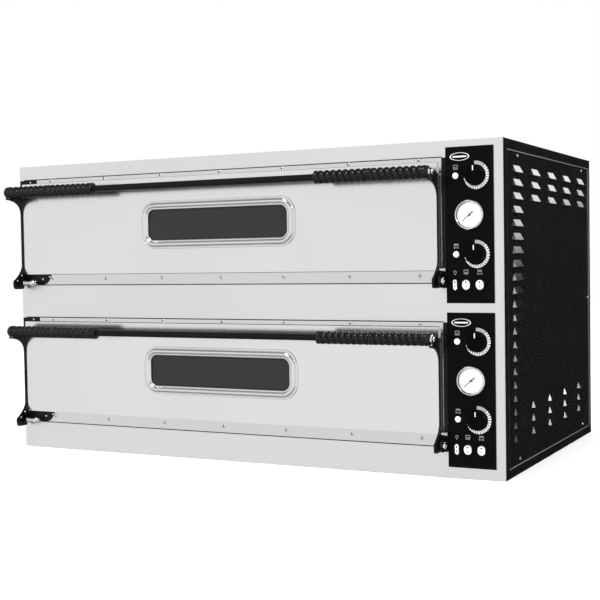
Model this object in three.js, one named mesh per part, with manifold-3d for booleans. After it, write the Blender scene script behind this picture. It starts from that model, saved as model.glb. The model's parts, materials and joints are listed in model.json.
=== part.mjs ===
// Countertop double-deck electric pizza oven, in millimetres.
// +Z is up, the front faces -Y, and the origin is the centre of the casing's underside.
// Each deck is built in a group of its own: there y = 0 is the fascia's front face,
// negative y stands in front of the fascia, and z = 0 is the deck's base line.
import * as THREE from 'three';
import { mergeVertices } from 'three/addons/utils/BufferGeometryUtils.js';
import { ConvexGeometry } from 'three/addons/geometries/ConvexGeometry.js';
import Module from 'manifold-3d';

const wasm = await Module();
wasm.setup();

// ---- Overall sizes ----
const casingWidth = 1340;
const casingDepth = 785;
const casingHeight = 750;

// ---- Clearances ----
const gap = 0.3;
const slideGap = 1;
const plugGap = 4;

// ---- Casing sheets ----
const sheet = 1.5;
const roofFlange = 22;
const baseFlange = 20;
const backWrap = 12;
const cornerBand = 26;
const fasciaReturn = 18;
const insulationMargin = 6;
const insulationWall = 26;

// ---- Side louvres ----
const louvreWidth = 72;
const louvreShoulder = 50;
const louvreMouth = 59;
const louvreHeight = 15;
const louvreProud = 7;
const louvreWall = 1.2;
const louvrePitch = 30.2;
const louvreFirst = 104;
const louvreColumnPitch = 143;
const louvreColumns = 5;
const louvreShortRows = 3;
const louvreBottomRow = 76;
const louvreTopMargin = 69;

// ---- Decks ----
const deckNames = ['lower', 'upper'];
const deckMargin = 9;
const sillHeight = 60.5;
const stripBottom = 27;
const doorTopMargin = 38;
const stripTop = 10;

// ---- Door ----
const doorLeftMargin = 13.3;
const controlZone = 150;
const doorProud = 8;
const doorSheet = 1.5;
const doorStandOff = 1;
const plugDepth = 24;
const plugTopGap = 6;

// ---- Window ----
const windowOffset = 14.3;
const windowHeight = 209;
const glassWidth = 395;
const glassHeight = 76;
const glassCorner = 18;
const glassThickness = 4;
const glassLap = 4;
const frameBand = 22;
const frameProud = 7;

// ---- Handle ----
const barRadius = 8;
const barAhead = 60;
const barHeight = 304;
const gripRadius = 15.5;
const gripGroove = 13;
const gripLength = 288;
const gripRibs = 9;
const gripOverhang = 8;
const gripCap = 4;
const gripSides = 8;

// ---- Hinge and arms ----
const hingeAhead = 22;
const hingeHeight = 65;
const armThickness = 4.5;
const armDepth = 8;
const armStandOff = 4;
const armTopBend = 42;
const armNeck = 5;
const footAhead = 47;
const footHeel = 2.5;
const footBend = 44;
const pinRadius = 5;
const pinLength = 48;
const cheekThickness = 4;
const bracketSheet = 1.4;
const bracketBar = 10;
const bracketTop = 57;
const bracketFoot = 100;
const bracketSlant = 26;
const bracketDrop = 12;
const bracketRise = 20;
const hexRadius = 7.5;

// ---- Chamber ----
const chamberInset = 35;
const chamberWall = 2;
const chamberRear = 79.2;
const chamberFloor = 98;
const chamberTopMargin = 86;
const flangeThickness = 1.2;
const ledgeWidth = 14;
const ledgeThickness = 2;
const stoneThickness = 16;
const stoneTop = 138;

// ---- Heating elements and lamp ----
const tubeRadius = 4.5;
const elementRise = 12;
const elementRuns = 6;
const elementSides = 6;
const elementMargin = 85;
const elementEnd = 55;
const elementTail = 22;
const lampFromRear = 93.8;
const lampRadius = 24;
const lampBezel = 30;
const lampHeight = 206;
const lampCan = 46;

// ---- Control panels ----
const panelWidth = 110;
const panelRight = 21.5;
const panelBottom = 15;
const panelTopMargin = 6;
const panelSheet = 2;
const panelLap = 7;
const knobOffset = 14;
const knobLow = 108;
const knobTopMargin = 64;
const knobRadius = 22.5;
const knobDepth = 17;
const spindleRadius = 3;
const spindleClearance = 1;
const thermostatSize = 40;
const thermostatDepth = 28;
const thermostatNeck = 12;
const gaugeOffset = 0;
const gaugeRadius = 33;
const gaugeBezel = 4;
const gaugeProud = 7;
const gaugeCover = 5;
const dialDrop = 6;
const gaugeDepth = 24;
const gaugeSides = 24;
const needleMargin = 7;
const needleTail = 11;
const pilotOffset = -31.5;
const pilotRadius = 7;
const pilotBody = 5.5;
const switchHeight = 41;
const switchTilt = THREE.MathUtils.degToRad(8);
const switchGap = 1.6;
const switchDepth = 10.5;
const bezelProud = 1.7;
const bezelRim = 3.5;
const switches = [
  { name: 'switch_lamp', offset: -35, width: 8.5, height: 23 },
  { name: 'switch_top', offset: -9.5, width: 17, height: 21 },
  { name: 'switch_bottom', offset: 22, width: 17, height: 21 },
];

// ---- Cable gland ----
const glandInset = 90;
const glandHeight = 60;
const glandRadius = 17;
const glandThread = 10;
const glandBore = 6.5;
const glandLength = 24;
const glandNut = 7;
const glandInside = 14;

// ---- Places worked out from the sizes ----
const deckPitch = (casingHeight - 2 * deckMargin) / deckNames.length;
const left = -casingWidth / 2;
const right = casingWidth / 2;
const front = -casingDepth / 2;
const back = casingDepth / 2;
const doorLeft = left + doorLeftMargin;
const doorRight = right - controlZone;
const doorCentre = (doorLeft + doorRight) / 2;
const doorBottom = sillHeight + stripBottom;
const doorTop = deckPitch - doorTopMargin;
const chamberLeft = doorLeft + chamberInset;
const chamberRight = doorRight - chamberInset;
const chamberTop = deckPitch - chamberTopMargin;
const armBack = flangeThickness + bracketSheet + 3 * gap;
const flangeLeft = doorLeft;
const flangeRight = doorRight + gap + armThickness + armStandOff;
const chamberStart = sheet + gap;
const chamberDepth = casingDepth - chamberStart - 2 * chamberWall - chamberRear;
const chamberEnd = chamberStart + chamberWall + chamberDepth;
const lampDepth = chamberEnd - lampFromRear;
const insulationRight = chamberRight + chamberWall + insulationWall;
const recessedFace = right - sheet - gap;
const panelCentre = right - panelRight - panelWidth / 2;
const panelHeight = deckPitch - panelBottom - panelTopMargin;
const knobHeights = [panelBottom + knobLow, panelBottom + panelHeight - knobTopMargin];
const gaugeHeight = (knobHeights[0] + knobHeights[1]) / 2;
const gaugeCan = gaugeRadius - gaugeCover;
const needleReach = gaugeRadius - gaugeBezel - needleMargin;
const panelFace = -gap - panelSheet;
const panelBack = -gap;
const runPitch = (chamberDepth - 2 * elementMargin) / (elementRuns - 1);
const windowCentre = doorCentre + windowOffset;
const gripOuter = armThickness + gap + gripOverhang;

// ---- Finishes ----
const finishes = {
  brushedSteel: { color: 0xd2d3d3, roughness: 0.32, metalness: 0.9 },
  brightSteel: { color: 0xe4e5e6, roughness: 0.16, metalness: 1 },
  blackPaint: { color: 0x17181a, roughness: 0.5, metalness: 0.1 },
  castBlack: { color: 0x111213, roughness: 0.38, metalness: 0.2 },
  blackPlastic: { color: 0x0c0c0d, roughness: 0.36, metalness: 0 },
  palePlastic: { color: 0xe9e8e2, roughness: 0.35, metalness: 0 },
  aluminised: { color: 0xa9acad, roughness: 0.42, metalness: 0.85 },
  glass: { color: 0x1b1c1e, roughness: 0.06, metalness: 0 },
  stone: { color: 0xc9bda5, roughness: 0.9, metalness: 0 },
  wool: { color: 0xc8c49a, roughness: 1, metalness: 0 },
  element: { color: 0x4b4a48, roughness: 0.55, metalness: 0.6 },
};

// ---- Solids: joining and cutting ----

/** A closed three.js geometry as a solid that can be joined and cut. */
function solid(geometry) {
  const plain = geometry.index ? geometry.toNonIndexed() : geometry.clone();
  plain.deleteAttribute('normal');
  plain.deleteAttribute('uv');
  const merged = mergeVertices(plain, 1e-4);
  return new wasm.Manifold(new wasm.Mesh({
    numProp: 3,
    vertProperties: Float32Array.from(merged.attributes.position.array),
    triVerts: Uint32Array.from(merged.index.array),
  }));
}

/** The solids given, joined into one. */
function join(...solids) {
  return solids.reduce((whole, piece) => whole.add(piece));
}

/** The first solid with the others cut out of it. */
function cut(body, ...tools) {
  return tools.reduce((rest, tool) => rest.subtract(tool), body);
}

/** A named mesh of a solid or of a plain geometry, with its finish. */
function part(name, shape, finish) {
  let geometry = shape;
  if (!shape.isBufferGeometry) {
    const mesh = shape.getMesh();
    geometry = new THREE.BufferGeometry();
    geometry.setAttribute('position', new THREE.BufferAttribute(mesh.vertProperties, 3));
    geometry.setIndex(new THREE.BufferAttribute(mesh.triVerts, 1));
    geometry.computeVertexNormals();
  }
  const mesh = new THREE.Mesh(geometry, new THREE.MeshStandardMaterial(finishes[finish]));
  mesh.name = name;
  return mesh;
}

// ---- Solids: basic forms ----

/** The corner radius of a many-sided bore whose flats clear a shaft by a given amount. */
function boreFor(shaftRadius, clearance, sides) {
  return (shaftRadius + clearance) / Math.cos(Math.PI / sides);
}

/** A block between two values along each axis. */
function block([x0, x1], [y0, y1], [z0, z1]) {
  const geometry = new THREE.BoxGeometry(x1 - x0, y1 - y0, z1 - z0);
  geometry.translate((x0 + x1) / 2, (y0 + y1) / 2, (z0 + z1) / 2);
  return solid(geometry);
}

/** A round bar along X between two values, centred on (y, z). */
function barX(radius, [x0, x1], y, z, sides = 16) {
  const geometry = new THREE.CylinderGeometry(radius, radius, x1 - x0, sides);
  geometry.rotateZ(Math.PI / 2);
  geometry.translate((x0 + x1) / 2, y, z);
  return solid(geometry);
}

/** A round bar along Y between two values, centred on (x, z). */
function barY(radius, [y0, y1], x, z, sides = 24) {
  const geometry = new THREE.CylinderGeometry(radius, radius, y1 - y0, sides);
  geometry.translate(x, (y0 + y1) / 2, z);
  return solid(geometry);
}

/** An outline drawn in the front elevation (x, z), filled between two values of y. */
function frontPlate(shape, [y0, y1], segments = 5) {
  const geometry = new THREE.ExtrudeGeometry(shape, {
    depth: y1 - y0,
    bevelEnabled: false,
    curveSegments: segments,
  });
  geometry.rotateX(Math.PI / 2);
  geometry.translate(0, y1, 0);
  return solid(geometry);
}

/** An outline drawn in the side elevation (y, z), filled between two values of x. */
function sidePlate(shape, [x0, x1], segments = 6) {
  const geometry = new THREE.ExtrudeGeometry(shape, {
    depth: x1 - x0,
    bevelEnabled: false,
    curveSegments: segments,
  });
  const turn = new THREE.Matrix4().makeBasis(
    new THREE.Vector3(0, 1, 0),
    new THREE.Vector3(0, 0, 1),
    new THREE.Vector3(1, 0, 0),
  );
  geometry.applyMatrix4(turn);
  geometry.translate(x0, 0, 0);
  return solid(geometry);
}

/** A rectangle with round corners around (x, z) in the front elevation. */
function roundedRectangle(x, z, width, height, radius) {
  const x0 = x - width / 2;
  const x1 = x + width / 2;
  const z0 = z - height / 2;
  const z1 = z + height / 2;
  const r = Math.min(radius, width / 2 - 0.01, height / 2 - 0.01);
  const shape = new THREE.Shape();
  shape.moveTo(x0 + r, z0);
  shape.lineTo(x1 - r, z0);
  shape.absarc(x1 - r, z0 + r, r, -Math.PI / 2, 0, false);
  shape.lineTo(x1, z1 - r);
  shape.absarc(x1 - r, z1 - r, r, 0, Math.PI / 2, false);
  shape.lineTo(x0 + r, z1);
  shape.absarc(x0 + r, z1 - r, r, Math.PI / 2, Math.PI, false);
  shape.lineTo(x0, z0 + r);
  shape.absarc(x0 + r, z0 + r, r, Math.PI, Math.PI * 1.5, false);
  shape.closePath();
  return shape;
}

/** A turned piece whose axis lies along Y; the profile holds [radius, y] pairs from back to front. */
function turnedY(profile, sides = 20) {
  const points = profile.map(([r, y]) => new THREE.Vector2(r, -y));
  const geometry = new THREE.LatheGeometry(points, sides);
  geometry.rotateX(Math.PI);
  return geometry;
}

/** A turned piece whose axis lies along X; the profile holds [radius, x] pairs, x rising. */
function turnedX(profile, sides = 12) {
  const points = profile.map(([r, x]) => new THREE.Vector2(r, x));
  const geometry = new THREE.LatheGeometry(points, sides);
  geometry.rotateZ(-Math.PI / 2);
  return geometry;
}

// ---- Casing ----

/** One louvre: the hood to add and the hollow to cut, on a face at x = 0 that looks along +X. */
function louvre() {
  const edge = (half, x, z) => [new THREE.Vector3(x, -half, z), new THREE.Vector3(x, half, z)];
  const hood = new ConvexGeometry([
    ...edge(louvreWidth / 2, -sheet / 2, 0),
    ...edge(louvreShoulder / 2, -sheet / 2, louvreHeight),
    ...edge(louvreWidth / 2, 0, 0),
    ...edge(louvreShoulder / 2, 0, louvreHeight),
    ...edge(louvreMouth / 2, louvreProud, 0),
  ]);
  const inset = louvreWall * 1.4;
  const hollow = new ConvexGeometry([
    ...edge(louvreWidth / 2 - inset, -2 * sheet, -inset / 2),
    ...edge(louvreShoulder / 2 - inset, -2 * sheet, louvreHeight - inset),
    ...edge(louvreWidth / 2 - inset, 0, -inset / 2),
    ...edge(louvreShoulder / 2 - inset, 0, louvreHeight - inset),
    ...edge(louvreMouth / 2 - inset, louvreProud - louvreWall, -inset / 2),
  ]);
  return { hood, hollow };
}

/** Heights of the louvre rows, from the bottom row up. */
function louvreRows() {
  const count = Math.floor((casingHeight - louvreTopMargin - louvreBottomRow) / louvrePitch) + 1;
  return Array.from({ length: count }, (_, row) => louvreBottomRow + row * louvrePitch);
}

/** A side panel seen from outside on the right: recessed sheet, proud front band and louvres. */
function sidePanel(fullColumn) {
  const rows = louvreRows();
  const ySpan = [front + sheet + gap, back - sheet - gap];
  const zSpan = [sheet + gap, casingHeight - sheet - gap];
  let body = join(
    block([recessedFace - sheet, recessedFace], ySpan, zSpan),
    block([recessedFace - sheet, right], [ySpan[0], ySpan[0] + cornerBand], zSpan),
  );
  const { hood, hollow } = louvre();
  for (let column = 0; column < louvreColumns; column += 1) {
    const y = front + louvreFirst + column * louvreColumnPitch;
    const fits = y + louvreWidth / 2 < back - backWrap - louvreWidth / 4;
    const whole = column === 0;
    if (!fits || (whole && !fullColumn)) continue;
    rows.forEach((z, row) => {
      const edgeRow = row < louvreShortRows || row >= rows.length - louvreShortRows;
      if (!whole && !edgeRow) return;
      const place = (shape) => solid(shape.clone().translate(recessedFace, y, z));
      body = cut(join(body, place(hood)), place(hollow));
    });
  }
  return body;
}

/** The casing's sheets, its insulation and the cable gland. */
function casing() {
  const group = new THREE.Group();
  const inner = right - 2 * sheet - 2 * gap;
  const behind = front + sheet + gap;

  let fascia = block([left, right], [front, front + sheet], [0, casingHeight]);
  const rim = block(
    [-inner, inner],
    [front, front + sheet + fasciaReturn],
    [sheet + gap, casingHeight - sheet - gap],
  );
  const rimHollow = block(
    [-inner + sheet, inner - sheet],
    [front + sheet, front + 2 * fasciaReturn],
    [2 * sheet + gap, casingHeight - 2 * sheet - gap],
  );
  fascia = cut(join(fascia, rim), rimHollow);
  deckNames.forEach((_, deck) => {
    const base = deckMargin + deck * deckPitch;
    fascia = cut(
      fascia,
      block(
        [chamberLeft - chamberWall - slideGap, chamberRight + chamberWall + slideGap],
        [front - 1, front + 2 * sheet],
        [base + stoneTop - chamberWall - slideGap, base + chamberTop + chamberWall + slideGap],
      ),
      block(
        [panelCentre - panelWidth / 2 + panelLap, panelCentre + panelWidth / 2 - panelLap],
        [front - 1, front + 2 * sheet],
        [base + panelBottom + panelLap, base + panelBottom + panelHeight - panelLap],
      ),
    );
  });
  group.add(part('front_fascia', fascia, 'brushedSteel'));

  const flangeStart = behind + cornerBand + gap;
  const roof = join(
    block([left, right], [behind, back], [casingHeight - sheet, casingHeight]),
    block([left, left + sheet], [flangeStart, back], [casingHeight - roofFlange, casingHeight]),
    block([right - sheet, right], [flangeStart, back], [casingHeight - roofFlange, casingHeight]),
    block([left, right], [back - sheet, back], [casingHeight - roofFlange, casingHeight]),
  );
  group.add(part('roof_panel', roof, 'blackPaint'));

  const base = join(
    block([left, right], [behind, back], [0, sheet]),
    block([left, left + sheet], [flangeStart, back], [0, baseFlange]),
    block([right - sheet, right], [flangeStart, back], [0, baseFlange]),
    block([left, right], [back - sheet, back], [0, baseFlange]),
  );
  group.add(part('base_panel', base, 'blackPaint'));

  const backSpan = [baseFlange + gap, casingHeight - roofFlange - gap];
  const backPanel = cut(
    join(
      block([left, right], [back - sheet, back], backSpan),
      block([left, left + sheet], [back - backWrap, back], backSpan),
      block([right - sheet, right], [back - backWrap, back], backSpan),
    ),
    barY(
      boreFor(glandThread, gap, 24),
      [back - 2 * sheet, back + 1],
      right - glandInset,
      glandHeight,
    ),
  );
  group.add(part('back_panel', backPanel, 'blackPaint'));

  group.add(part('right_side_panel', sidePanel(true), 'blackPaint'));
  const leftSide = sidePanel(false).mirror([1, 0, 0]);
  group.add(part('left_side_panel', leftSide, 'blackPaint'));

  const glandFace = sheet + gap;
  const gland = part('cable_gland', turnedY([
    [glandBore, glandFace + glandLength],
    [glandRadius * 0.75, glandFace + glandLength - 4],
    [glandRadius * 0.8, glandFace + glandNut + 2],
    [glandRadius, glandFace + glandNut],
    [glandRadius, glandFace],
    [glandThread, glandFace],
    [glandThread, -glandInside],
    [glandBore, -glandInside],
    [glandBore, glandFace + glandLength],
  ]), 'blackPlastic');
  gland.position.set(right - glandInset, back - sheet, glandHeight);
  group.add(gland);

  const wool = block(
    [-inner + insulationMargin, insulationRight],
    [behind + insulationMargin, chamberEnd + chamberWall + front + insulationWall],
    [insulationMargin, casingHeight - insulationMargin],
  );
  group.add(part('insulation', cut(wool, ...deckNames.map((_, deck) => {
    const deckBase = deckMargin + deck * deckPitch;
    return join(
      block(
        [chamberLeft - chamberWall - slideGap, chamberRight + chamberWall + slideGap],
        [front, chamberEnd + chamberWall + front + slideGap],
        [deckBase + chamberFloor - chamberWall - slideGap, deckBase + chamberTop + chamberWall + slideGap],
      ),
      barX(
        lampBezel + slideGap,
        [chamberRight, insulationRight + 1],
        front + lampDepth,
        deckBase + lampHeight,
      ),
      ...elementEnds().map(([y, z]) => barX(
        tubeRadius + 2 * slideGap,
        [chamberRight, insulationRight + 1],
        front + y,
        deckBase + z,
        8,
      )),
    );
  })), 'wool'));
  return group;
}

// ---- Chamber, stones, elements and lamp ----

/** The two elements' heights in a deck. */
function elementHeights() {
  return [chamberFloor + elementRise, chamberTop - elementRise];
}

/** Where the elements' tails leave the chamber, as [y, z]. */
function elementEnds() {
  const ys = [elementMargin, elementMargin + (elementRuns - 1) * runPitch];
  return elementHeights().flatMap((z) => ys.map((y) => [chamberStart + chamberWall + y, z]));
}

/** The oven chamber: a sheet box with a mouth, a screwed front flange and ledges for the stones. */
function chamber() {
  const xOuter = [chamberLeft - chamberWall, chamberRight + chamberWall];
  const zOuter = [chamberFloor - chamberWall, chamberTop + chamberWall];
  const yInner = [chamberStart + chamberWall, chamberEnd];
  const ledge = [stoneTop - stoneThickness - gap - ledgeThickness, stoneTop - stoneThickness - gap];
  let body = join(
    block(xOuter, [chamberStart, chamberEnd + chamberWall], zOuter),
    block(xOuter, [-gap - flangeThickness / 2, chamberStart + 1], [stoneTop - chamberWall, zOuter[1]]),
    block(
      [flangeLeft, flangeRight],
      [-gap - flangeThickness, -gap],
      [sillHeight, doorTop + stripTop],
    ),
  );
  body = cut(
    body,
    block([chamberLeft, chamberRight], yInner, [chamberFloor, chamberTop]),
    block([chamberLeft, chamberRight], [-10, yInner[0] + 1], [stoneTop, chamberTop]),
    barX(lampRadius, [chamberRight - 1, chamberRight + 2 * chamberWall], lampDepth, lampHeight),
    ...elementEnds().map(([y, z]) => barX(
      tubeRadius + slideGap,
      [chamberRight - 1, chamberRight + 2 * chamberWall],
      y,
      z,
      8,
    )),
  );
  return join(
    body,
    block([chamberLeft - 1, chamberLeft + ledgeWidth], yInner, ledge),
    block([chamberRight - ledgeWidth, chamberRight + 1], yInner, ledge),
  );
}

/** A serpentine element: straight runs along X joined by half circles, both tails to the right. */
function element(z) {
  const bend = runPitch / 2;
  const xLeft = chamberLeft + elementEnd + bend;
  const xRight = chamberRight - elementEnd - bend;
  const xTail = chamberRight + chamberWall + elementTail;
  const pieces = [];
  for (let run = 0; run < elementRuns; run += 1) {
    const y = chamberStart + chamberWall + elementMargin + run * runPitch;
    const outside = run === 0 || run === elementRuns - 1;
    pieces.push(barX(tubeRadius, [xLeft, outside ? xTail : xRight], y, z, elementSides));
    if (run === elementRuns - 1) continue;
    const side = run % 2 === 0 ? -1 : 1;
    pieces.push(solid(cappedBend(bend, side, side < 0 ? xLeft : xRight, y + bend, z)));
  }
  return join(...pieces);
}

/** A half-circle bend of the element's tube, with closed ends. */
function cappedBend(bend, side, x, y, z) {
  const points = [];
  const steps = 6;
  for (let step = 0; step <= steps; step += 1) {
    const turn = -Math.PI / 2 + (Math.PI * step) / steps;
    points.push(new THREE.Vector3(x + side * bend * Math.cos(turn), y + bend * Math.sin(turn), z));
  }
  const section = new THREE.Shape();
  section.absarc(0, 0, tubeRadius, 0, Math.PI * 2, false);
  return new THREE.ExtrudeGeometry(section, {
    steps,
    curveSegments: elementSides / 2,
    bevelEnabled: false,
    extrudePath: new THREE.CatmullRomCurve3(points),
  });
}

/** The oven lamp: a lens towards the chamber and its can through the right-hand wall. */
function lamp() {
  const face = chamberWall + gap;
  return turnedX([
    [0, -6],
    [lampRadius * 0.55, -4.6],
    [lampRadius - 1, -0.5],
    [lampRadius - 1, face],
    [lampBezel, face],
    [lampBezel, face + 3],
    [lampRadius - 3, face + 3],
    [lampRadius - 3, lampCan],
    [0, lampCan],
  ], 16);
}

/** What stays with the casing in one deck's oven chamber. */
function ovenCavity(prefix) {
  const group = new THREE.Group();
  group.add(part(`${prefix}_chamber`, chamber(), 'aluminised'));
  const stone = block(
    [chamberLeft + 2 * slideGap, chamberRight - 2 * slideGap],
    [chamberStart + chamberWall + 2 * slideGap, chamberEnd - 2 * slideGap],
    [stoneTop - stoneThickness, stoneTop],
  );
  group.add(part(`${prefix}_stone_floor`, stone, 'stone'));
  const [low, high] = elementHeights();
  group.add(part(`${prefix}_bottom_element`, element(low), 'element'));
  group.add(part(`${prefix}_top_element`, element(high), 'element'));
  const lampMesh = part(`${prefix}_chamber_lamp`, lamp(), 'glass');
  lampMesh.position.set(chamberRight, lampDepth, lampHeight);
  group.add(lampMesh);
  return group;
}

// ---- Door ----

/** The window's outline, grown by a margin on every side. */
function windowOutline(margin) {
  return roundedRectangle(
    windowCentre,
    windowHeight,
    glassWidth + 2 * margin,
    glassHeight + 2 * margin,
    glassCorner + margin,
  );
}

/** A moulded grip along +X from its closed outer end: a ribbed sleeve with a blind bore. */
function grip() {
  const pitch = gripLength / (2 * gripRibs + 1);
  const profile = [[0, 0], [gripRadius * 0.7, 1.2]];
  for (let rib = 0; rib <= 2 * gripRibs; rib += 1) {
    profile.push([gripRadius, (rib + 0.45) * pitch]);
    if (rib < 2 * gripRibs) profile.push([gripGroove, (rib + 1) * pitch]);
  }
  profile.push([gripGroove * 0.9, gripLength]);
  const bore = boreFor(barRadius, gap, gripSides);
  profile.push([bore, gripLength]);
  profile.push([bore, gripCap]);
  profile.push([0, gripCap]);
  return turnedX(profile, gripSides);
}

/** A door arm in the side elevation: hinge foot, upright along the door's end, and handle seat. */
function armOutline() {
  const backFace = -armBack;
  const frontFace = -armBack - armDepth;
  const hingeY = -hingeAhead;
  const footRound = hingeAhead - armBack;
  const drop = footRound - footHeel;
  const heel = Math.sqrt(footRound * footRound - drop * drop);
  const barY0 = -barAhead;
  const seatTop = barHeight + gripRadius * 0.3;
  const seatFront = barY0 - gripRadius * 0.55;
  const neck = barHeight - gripRadius - armNeck;
  const shape = new THREE.Shape();
  shape.moveTo(backFace, hingeHeight);
  shape.lineTo(backFace, barHeight - armTopBend * 0.35);
  shape.quadraticCurveTo(backFace, seatTop, barY0 + gripRadius * 0.6, seatTop);
  shape.lineTo(seatFront, barHeight - gripRadius * 0.5);
  shape.lineTo(seatFront, neck + 2);
  shape.quadraticCurveTo(frontFace, neck, frontFace, barHeight - gripRadius - armTopBend);
  shape.lineTo(frontFace, hingeHeight + footBend);
  shape.quadraticCurveTo(
    frontFace - armNeck,
    hingeHeight + footBend * 0.55,
    -footAhead,
    hingeHeight + armNeck,
  );
  shape.quadraticCurveTo(-footAhead - 2, hingeHeight - drop, hingeY - drop, hingeHeight - drop);
  shape.lineTo(hingeY + heel, hingeHeight - drop);
  shape.absarc(hingeY, hingeHeight, footRound, -Math.asin(drop / footRound), 0, false);
  shape.closePath();
  return shape;
}

/** A door arm between two values of x, with its pin bore and its seat for the grip. */
function arm(xSpan) {
  const wide = [xSpan[0] - 1, xSpan[1] + 1];
  return cut(
    sidePlate(armOutline(), xSpan),
    barX(boreFor(pinRadius, gap, 16), wide, -hingeAhead, hingeHeight),
    barX(boreFor(gripRadius, gap, 20), wide, -barAhead, barHeight, 20),
  );
}

/** The drop-down door of one deck: everything that swings on the hinge. */
function door(prefix) {
  const group = new THREE.Group();
  const standOff = -gap - flangeThickness - doorStandOff;
  const skin = cut(
    block([doorLeft, doorRight], [-doorProud, standOff], [doorBottom + gap, doorTop - gap]),
    block(
      [doorLeft + doorSheet, doorRight - doorSheet],
      [-doorProud + doorSheet, 1],
      [doorBottom + gap + doorSheet, doorTop - gap - doorSheet],
    ),
    frontPlate(windowOutline(glassLap + slideGap), [-doorProud - 1, 1]),
  );
  group.add(part(`${prefix}_door_skin`, skin, 'brushedSteel'));

  const plugX = [chamberLeft + plugGap, chamberRight - plugGap];
  const plugZ = [stoneTop + plugGap, chamberTop - plugTopGap];
  const plugFront = -doorProud + doorSheet + gap;
  const liner = cut(
    block(plugX, [plugFront, plugDepth], plugZ),
    block(
      [plugX[0] + doorSheet, plugX[1] - doorSheet],
      [plugFront - 1, plugDepth - doorSheet],
      [plugZ[0] + doorSheet, plugZ[1] - doorSheet],
    ),
    frontPlate(windowOutline(0), [0, plugDepth + 1]),
  );
  group.add(part(`${prefix}_door_liner`, liner, 'aluminised'));

  const frame = cut(
    frontPlate(windowOutline(frameBand), [-doorProud - gap - frameProud, -doorProud - gap]),
    frontPlate(windowOutline(0), [-doorProud - 2 * frameProud, 0]),
  );
  group.add(part(`${prefix}_window_frame`, frame, 'brightSteel'));
  const glassSpan = [-doorProud, -doorProud + glassThickness];
  group.add(part(`${prefix}_window_glass`, frontPlate(windowOutline(glassLap), glassSpan), 'glass'));

  const armLeft = [doorLeft - gap - armThickness, doorLeft - gap];
  const armRight = [doorRight + gap, doorRight + gap + armThickness];
  group.add(part(`${prefix}_arm_left`, arm(armLeft), 'castBlack'));
  group.add(part(`${prefix}_arm_right`, arm(armRight), 'castBlack'));

  const gripLeft = part(`${prefix}_grip_left`, grip(), 'blackPlastic');
  gripLeft.position.set(doorLeft - gripOuter, -barAhead, barHeight);
  const gripRight = part(`${prefix}_grip_right`, grip(), 'blackPlastic');
  gripRight.position.set(doorRight + gripOuter, -barAhead, barHeight);
  gripRight.rotation.z = Math.PI;
  const barEnd = gripOuter - gripCap - gap;
  const bar = barX(barRadius, [doorLeft - barEnd, doorRight + barEnd], -barAhead, barHeight, 12);
  group.add(gripLeft, gripRight, part(`${prefix}_handle_bar`, bar, 'castBlack'));
  return group;
}

/** The left hinge bracket: a bar beside the door, its top and bottom legs, a cheek and the pin. */
function bracketLeft() {
  const face = -gap - flangeThickness - gap;
  const plate = [face - bracketSheet, face];
  const barX1 = doorLeft - gap;
  const barX0 = barX1 - bracketBar;
  const stripTopZ = sillHeight + stripBottom - gap;
  const cheekX = [doorLeft + gap, doorLeft + gap + cheekThickness];
  const cheek = new THREE.Shape();
  cheek.moveTo(face, sillHeight + 1);
  cheek.lineTo(-hingeAhead, sillHeight - 5);
  cheek.absarc(-hingeAhead, hingeHeight, 2 * pinRadius, Math.PI * 1.5, Math.PI * 0.5, true);
  cheek.lineTo(face, stripTopZ);
  cheek.closePath();
  const foot = new THREE.Shape();
  foot.moveTo(left + bracketFoot, stripTopZ);
  foot.lineTo(barX0, stripTopZ);
  foot.lineTo(barX0, sillHeight);
  foot.lineTo(left + bracketFoot - bracketSlant, sillHeight);
  foot.quadraticCurveTo(
    left + bracketFoot - bracketSlant / 3,
    sillHeight,
    left + bracketFoot,
    stripTopZ,
  );
  return join(
    frontPlate(foot, plate),
    block([barX0, barX1], plate, [sillHeight, doorTop + stripTop]),
    block([barX0, left + bracketTop], plate, [doorTop + gap, doorTop + stripTop]),
    sidePlate(cheek, cheekX),
    barX(pinRadius, [doorLeft - gap - armThickness - 2, doorLeft + pinLength], -hingeAhead, hingeHeight),
    barX(hexRadius, [doorLeft + pinLength - 12, doorLeft + pinLength - 5], -hingeAhead, hingeHeight, 6),
  );
}

/** The right hinge bracket: a bar beside the door, a cheek outside the arm, the pin and its nut. */
function bracketRight() {
  const face = -2 * gap;
  const armOuter = doorRight + gap + armThickness;
  const cheekX = [flangeRight + gap, flangeRight + gap + cheekThickness];
  const panelEdge = panelCentre - panelWidth / 2 - gap;
  const cheek = new THREE.Shape();
  cheek.moveTo(face, sillHeight - bracketDrop);
  cheek.lineTo(-hingeAhead - cheekThickness, sillHeight - bracketDrop + 2);
  cheek.absarc(-hingeAhead, hingeHeight, 2 * pinRadius + 2, Math.PI * 1.6, Math.PI * 0.6, true);
  cheek.lineTo(face, hingeHeight + bracketRise);
  cheek.closePath();
  const nutX = [cheekX[1] - 1, cheekX[1] + 5];
  return join(
    block([cheekX[0], panelEdge], [face - 2, face], [sillHeight - bracketDrop, doorTop + stripTop]),
    sidePlate(cheek, cheekX),
    barX(pinRadius, [armOuter - armThickness - 2 * gap + 1, cheekX[1]], -hingeAhead, hingeHeight),
    barX(hexRadius, nutX, -hingeAhead, hingeHeight, 6),
  );
}

// ---- Control panel and what is on it ----

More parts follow.
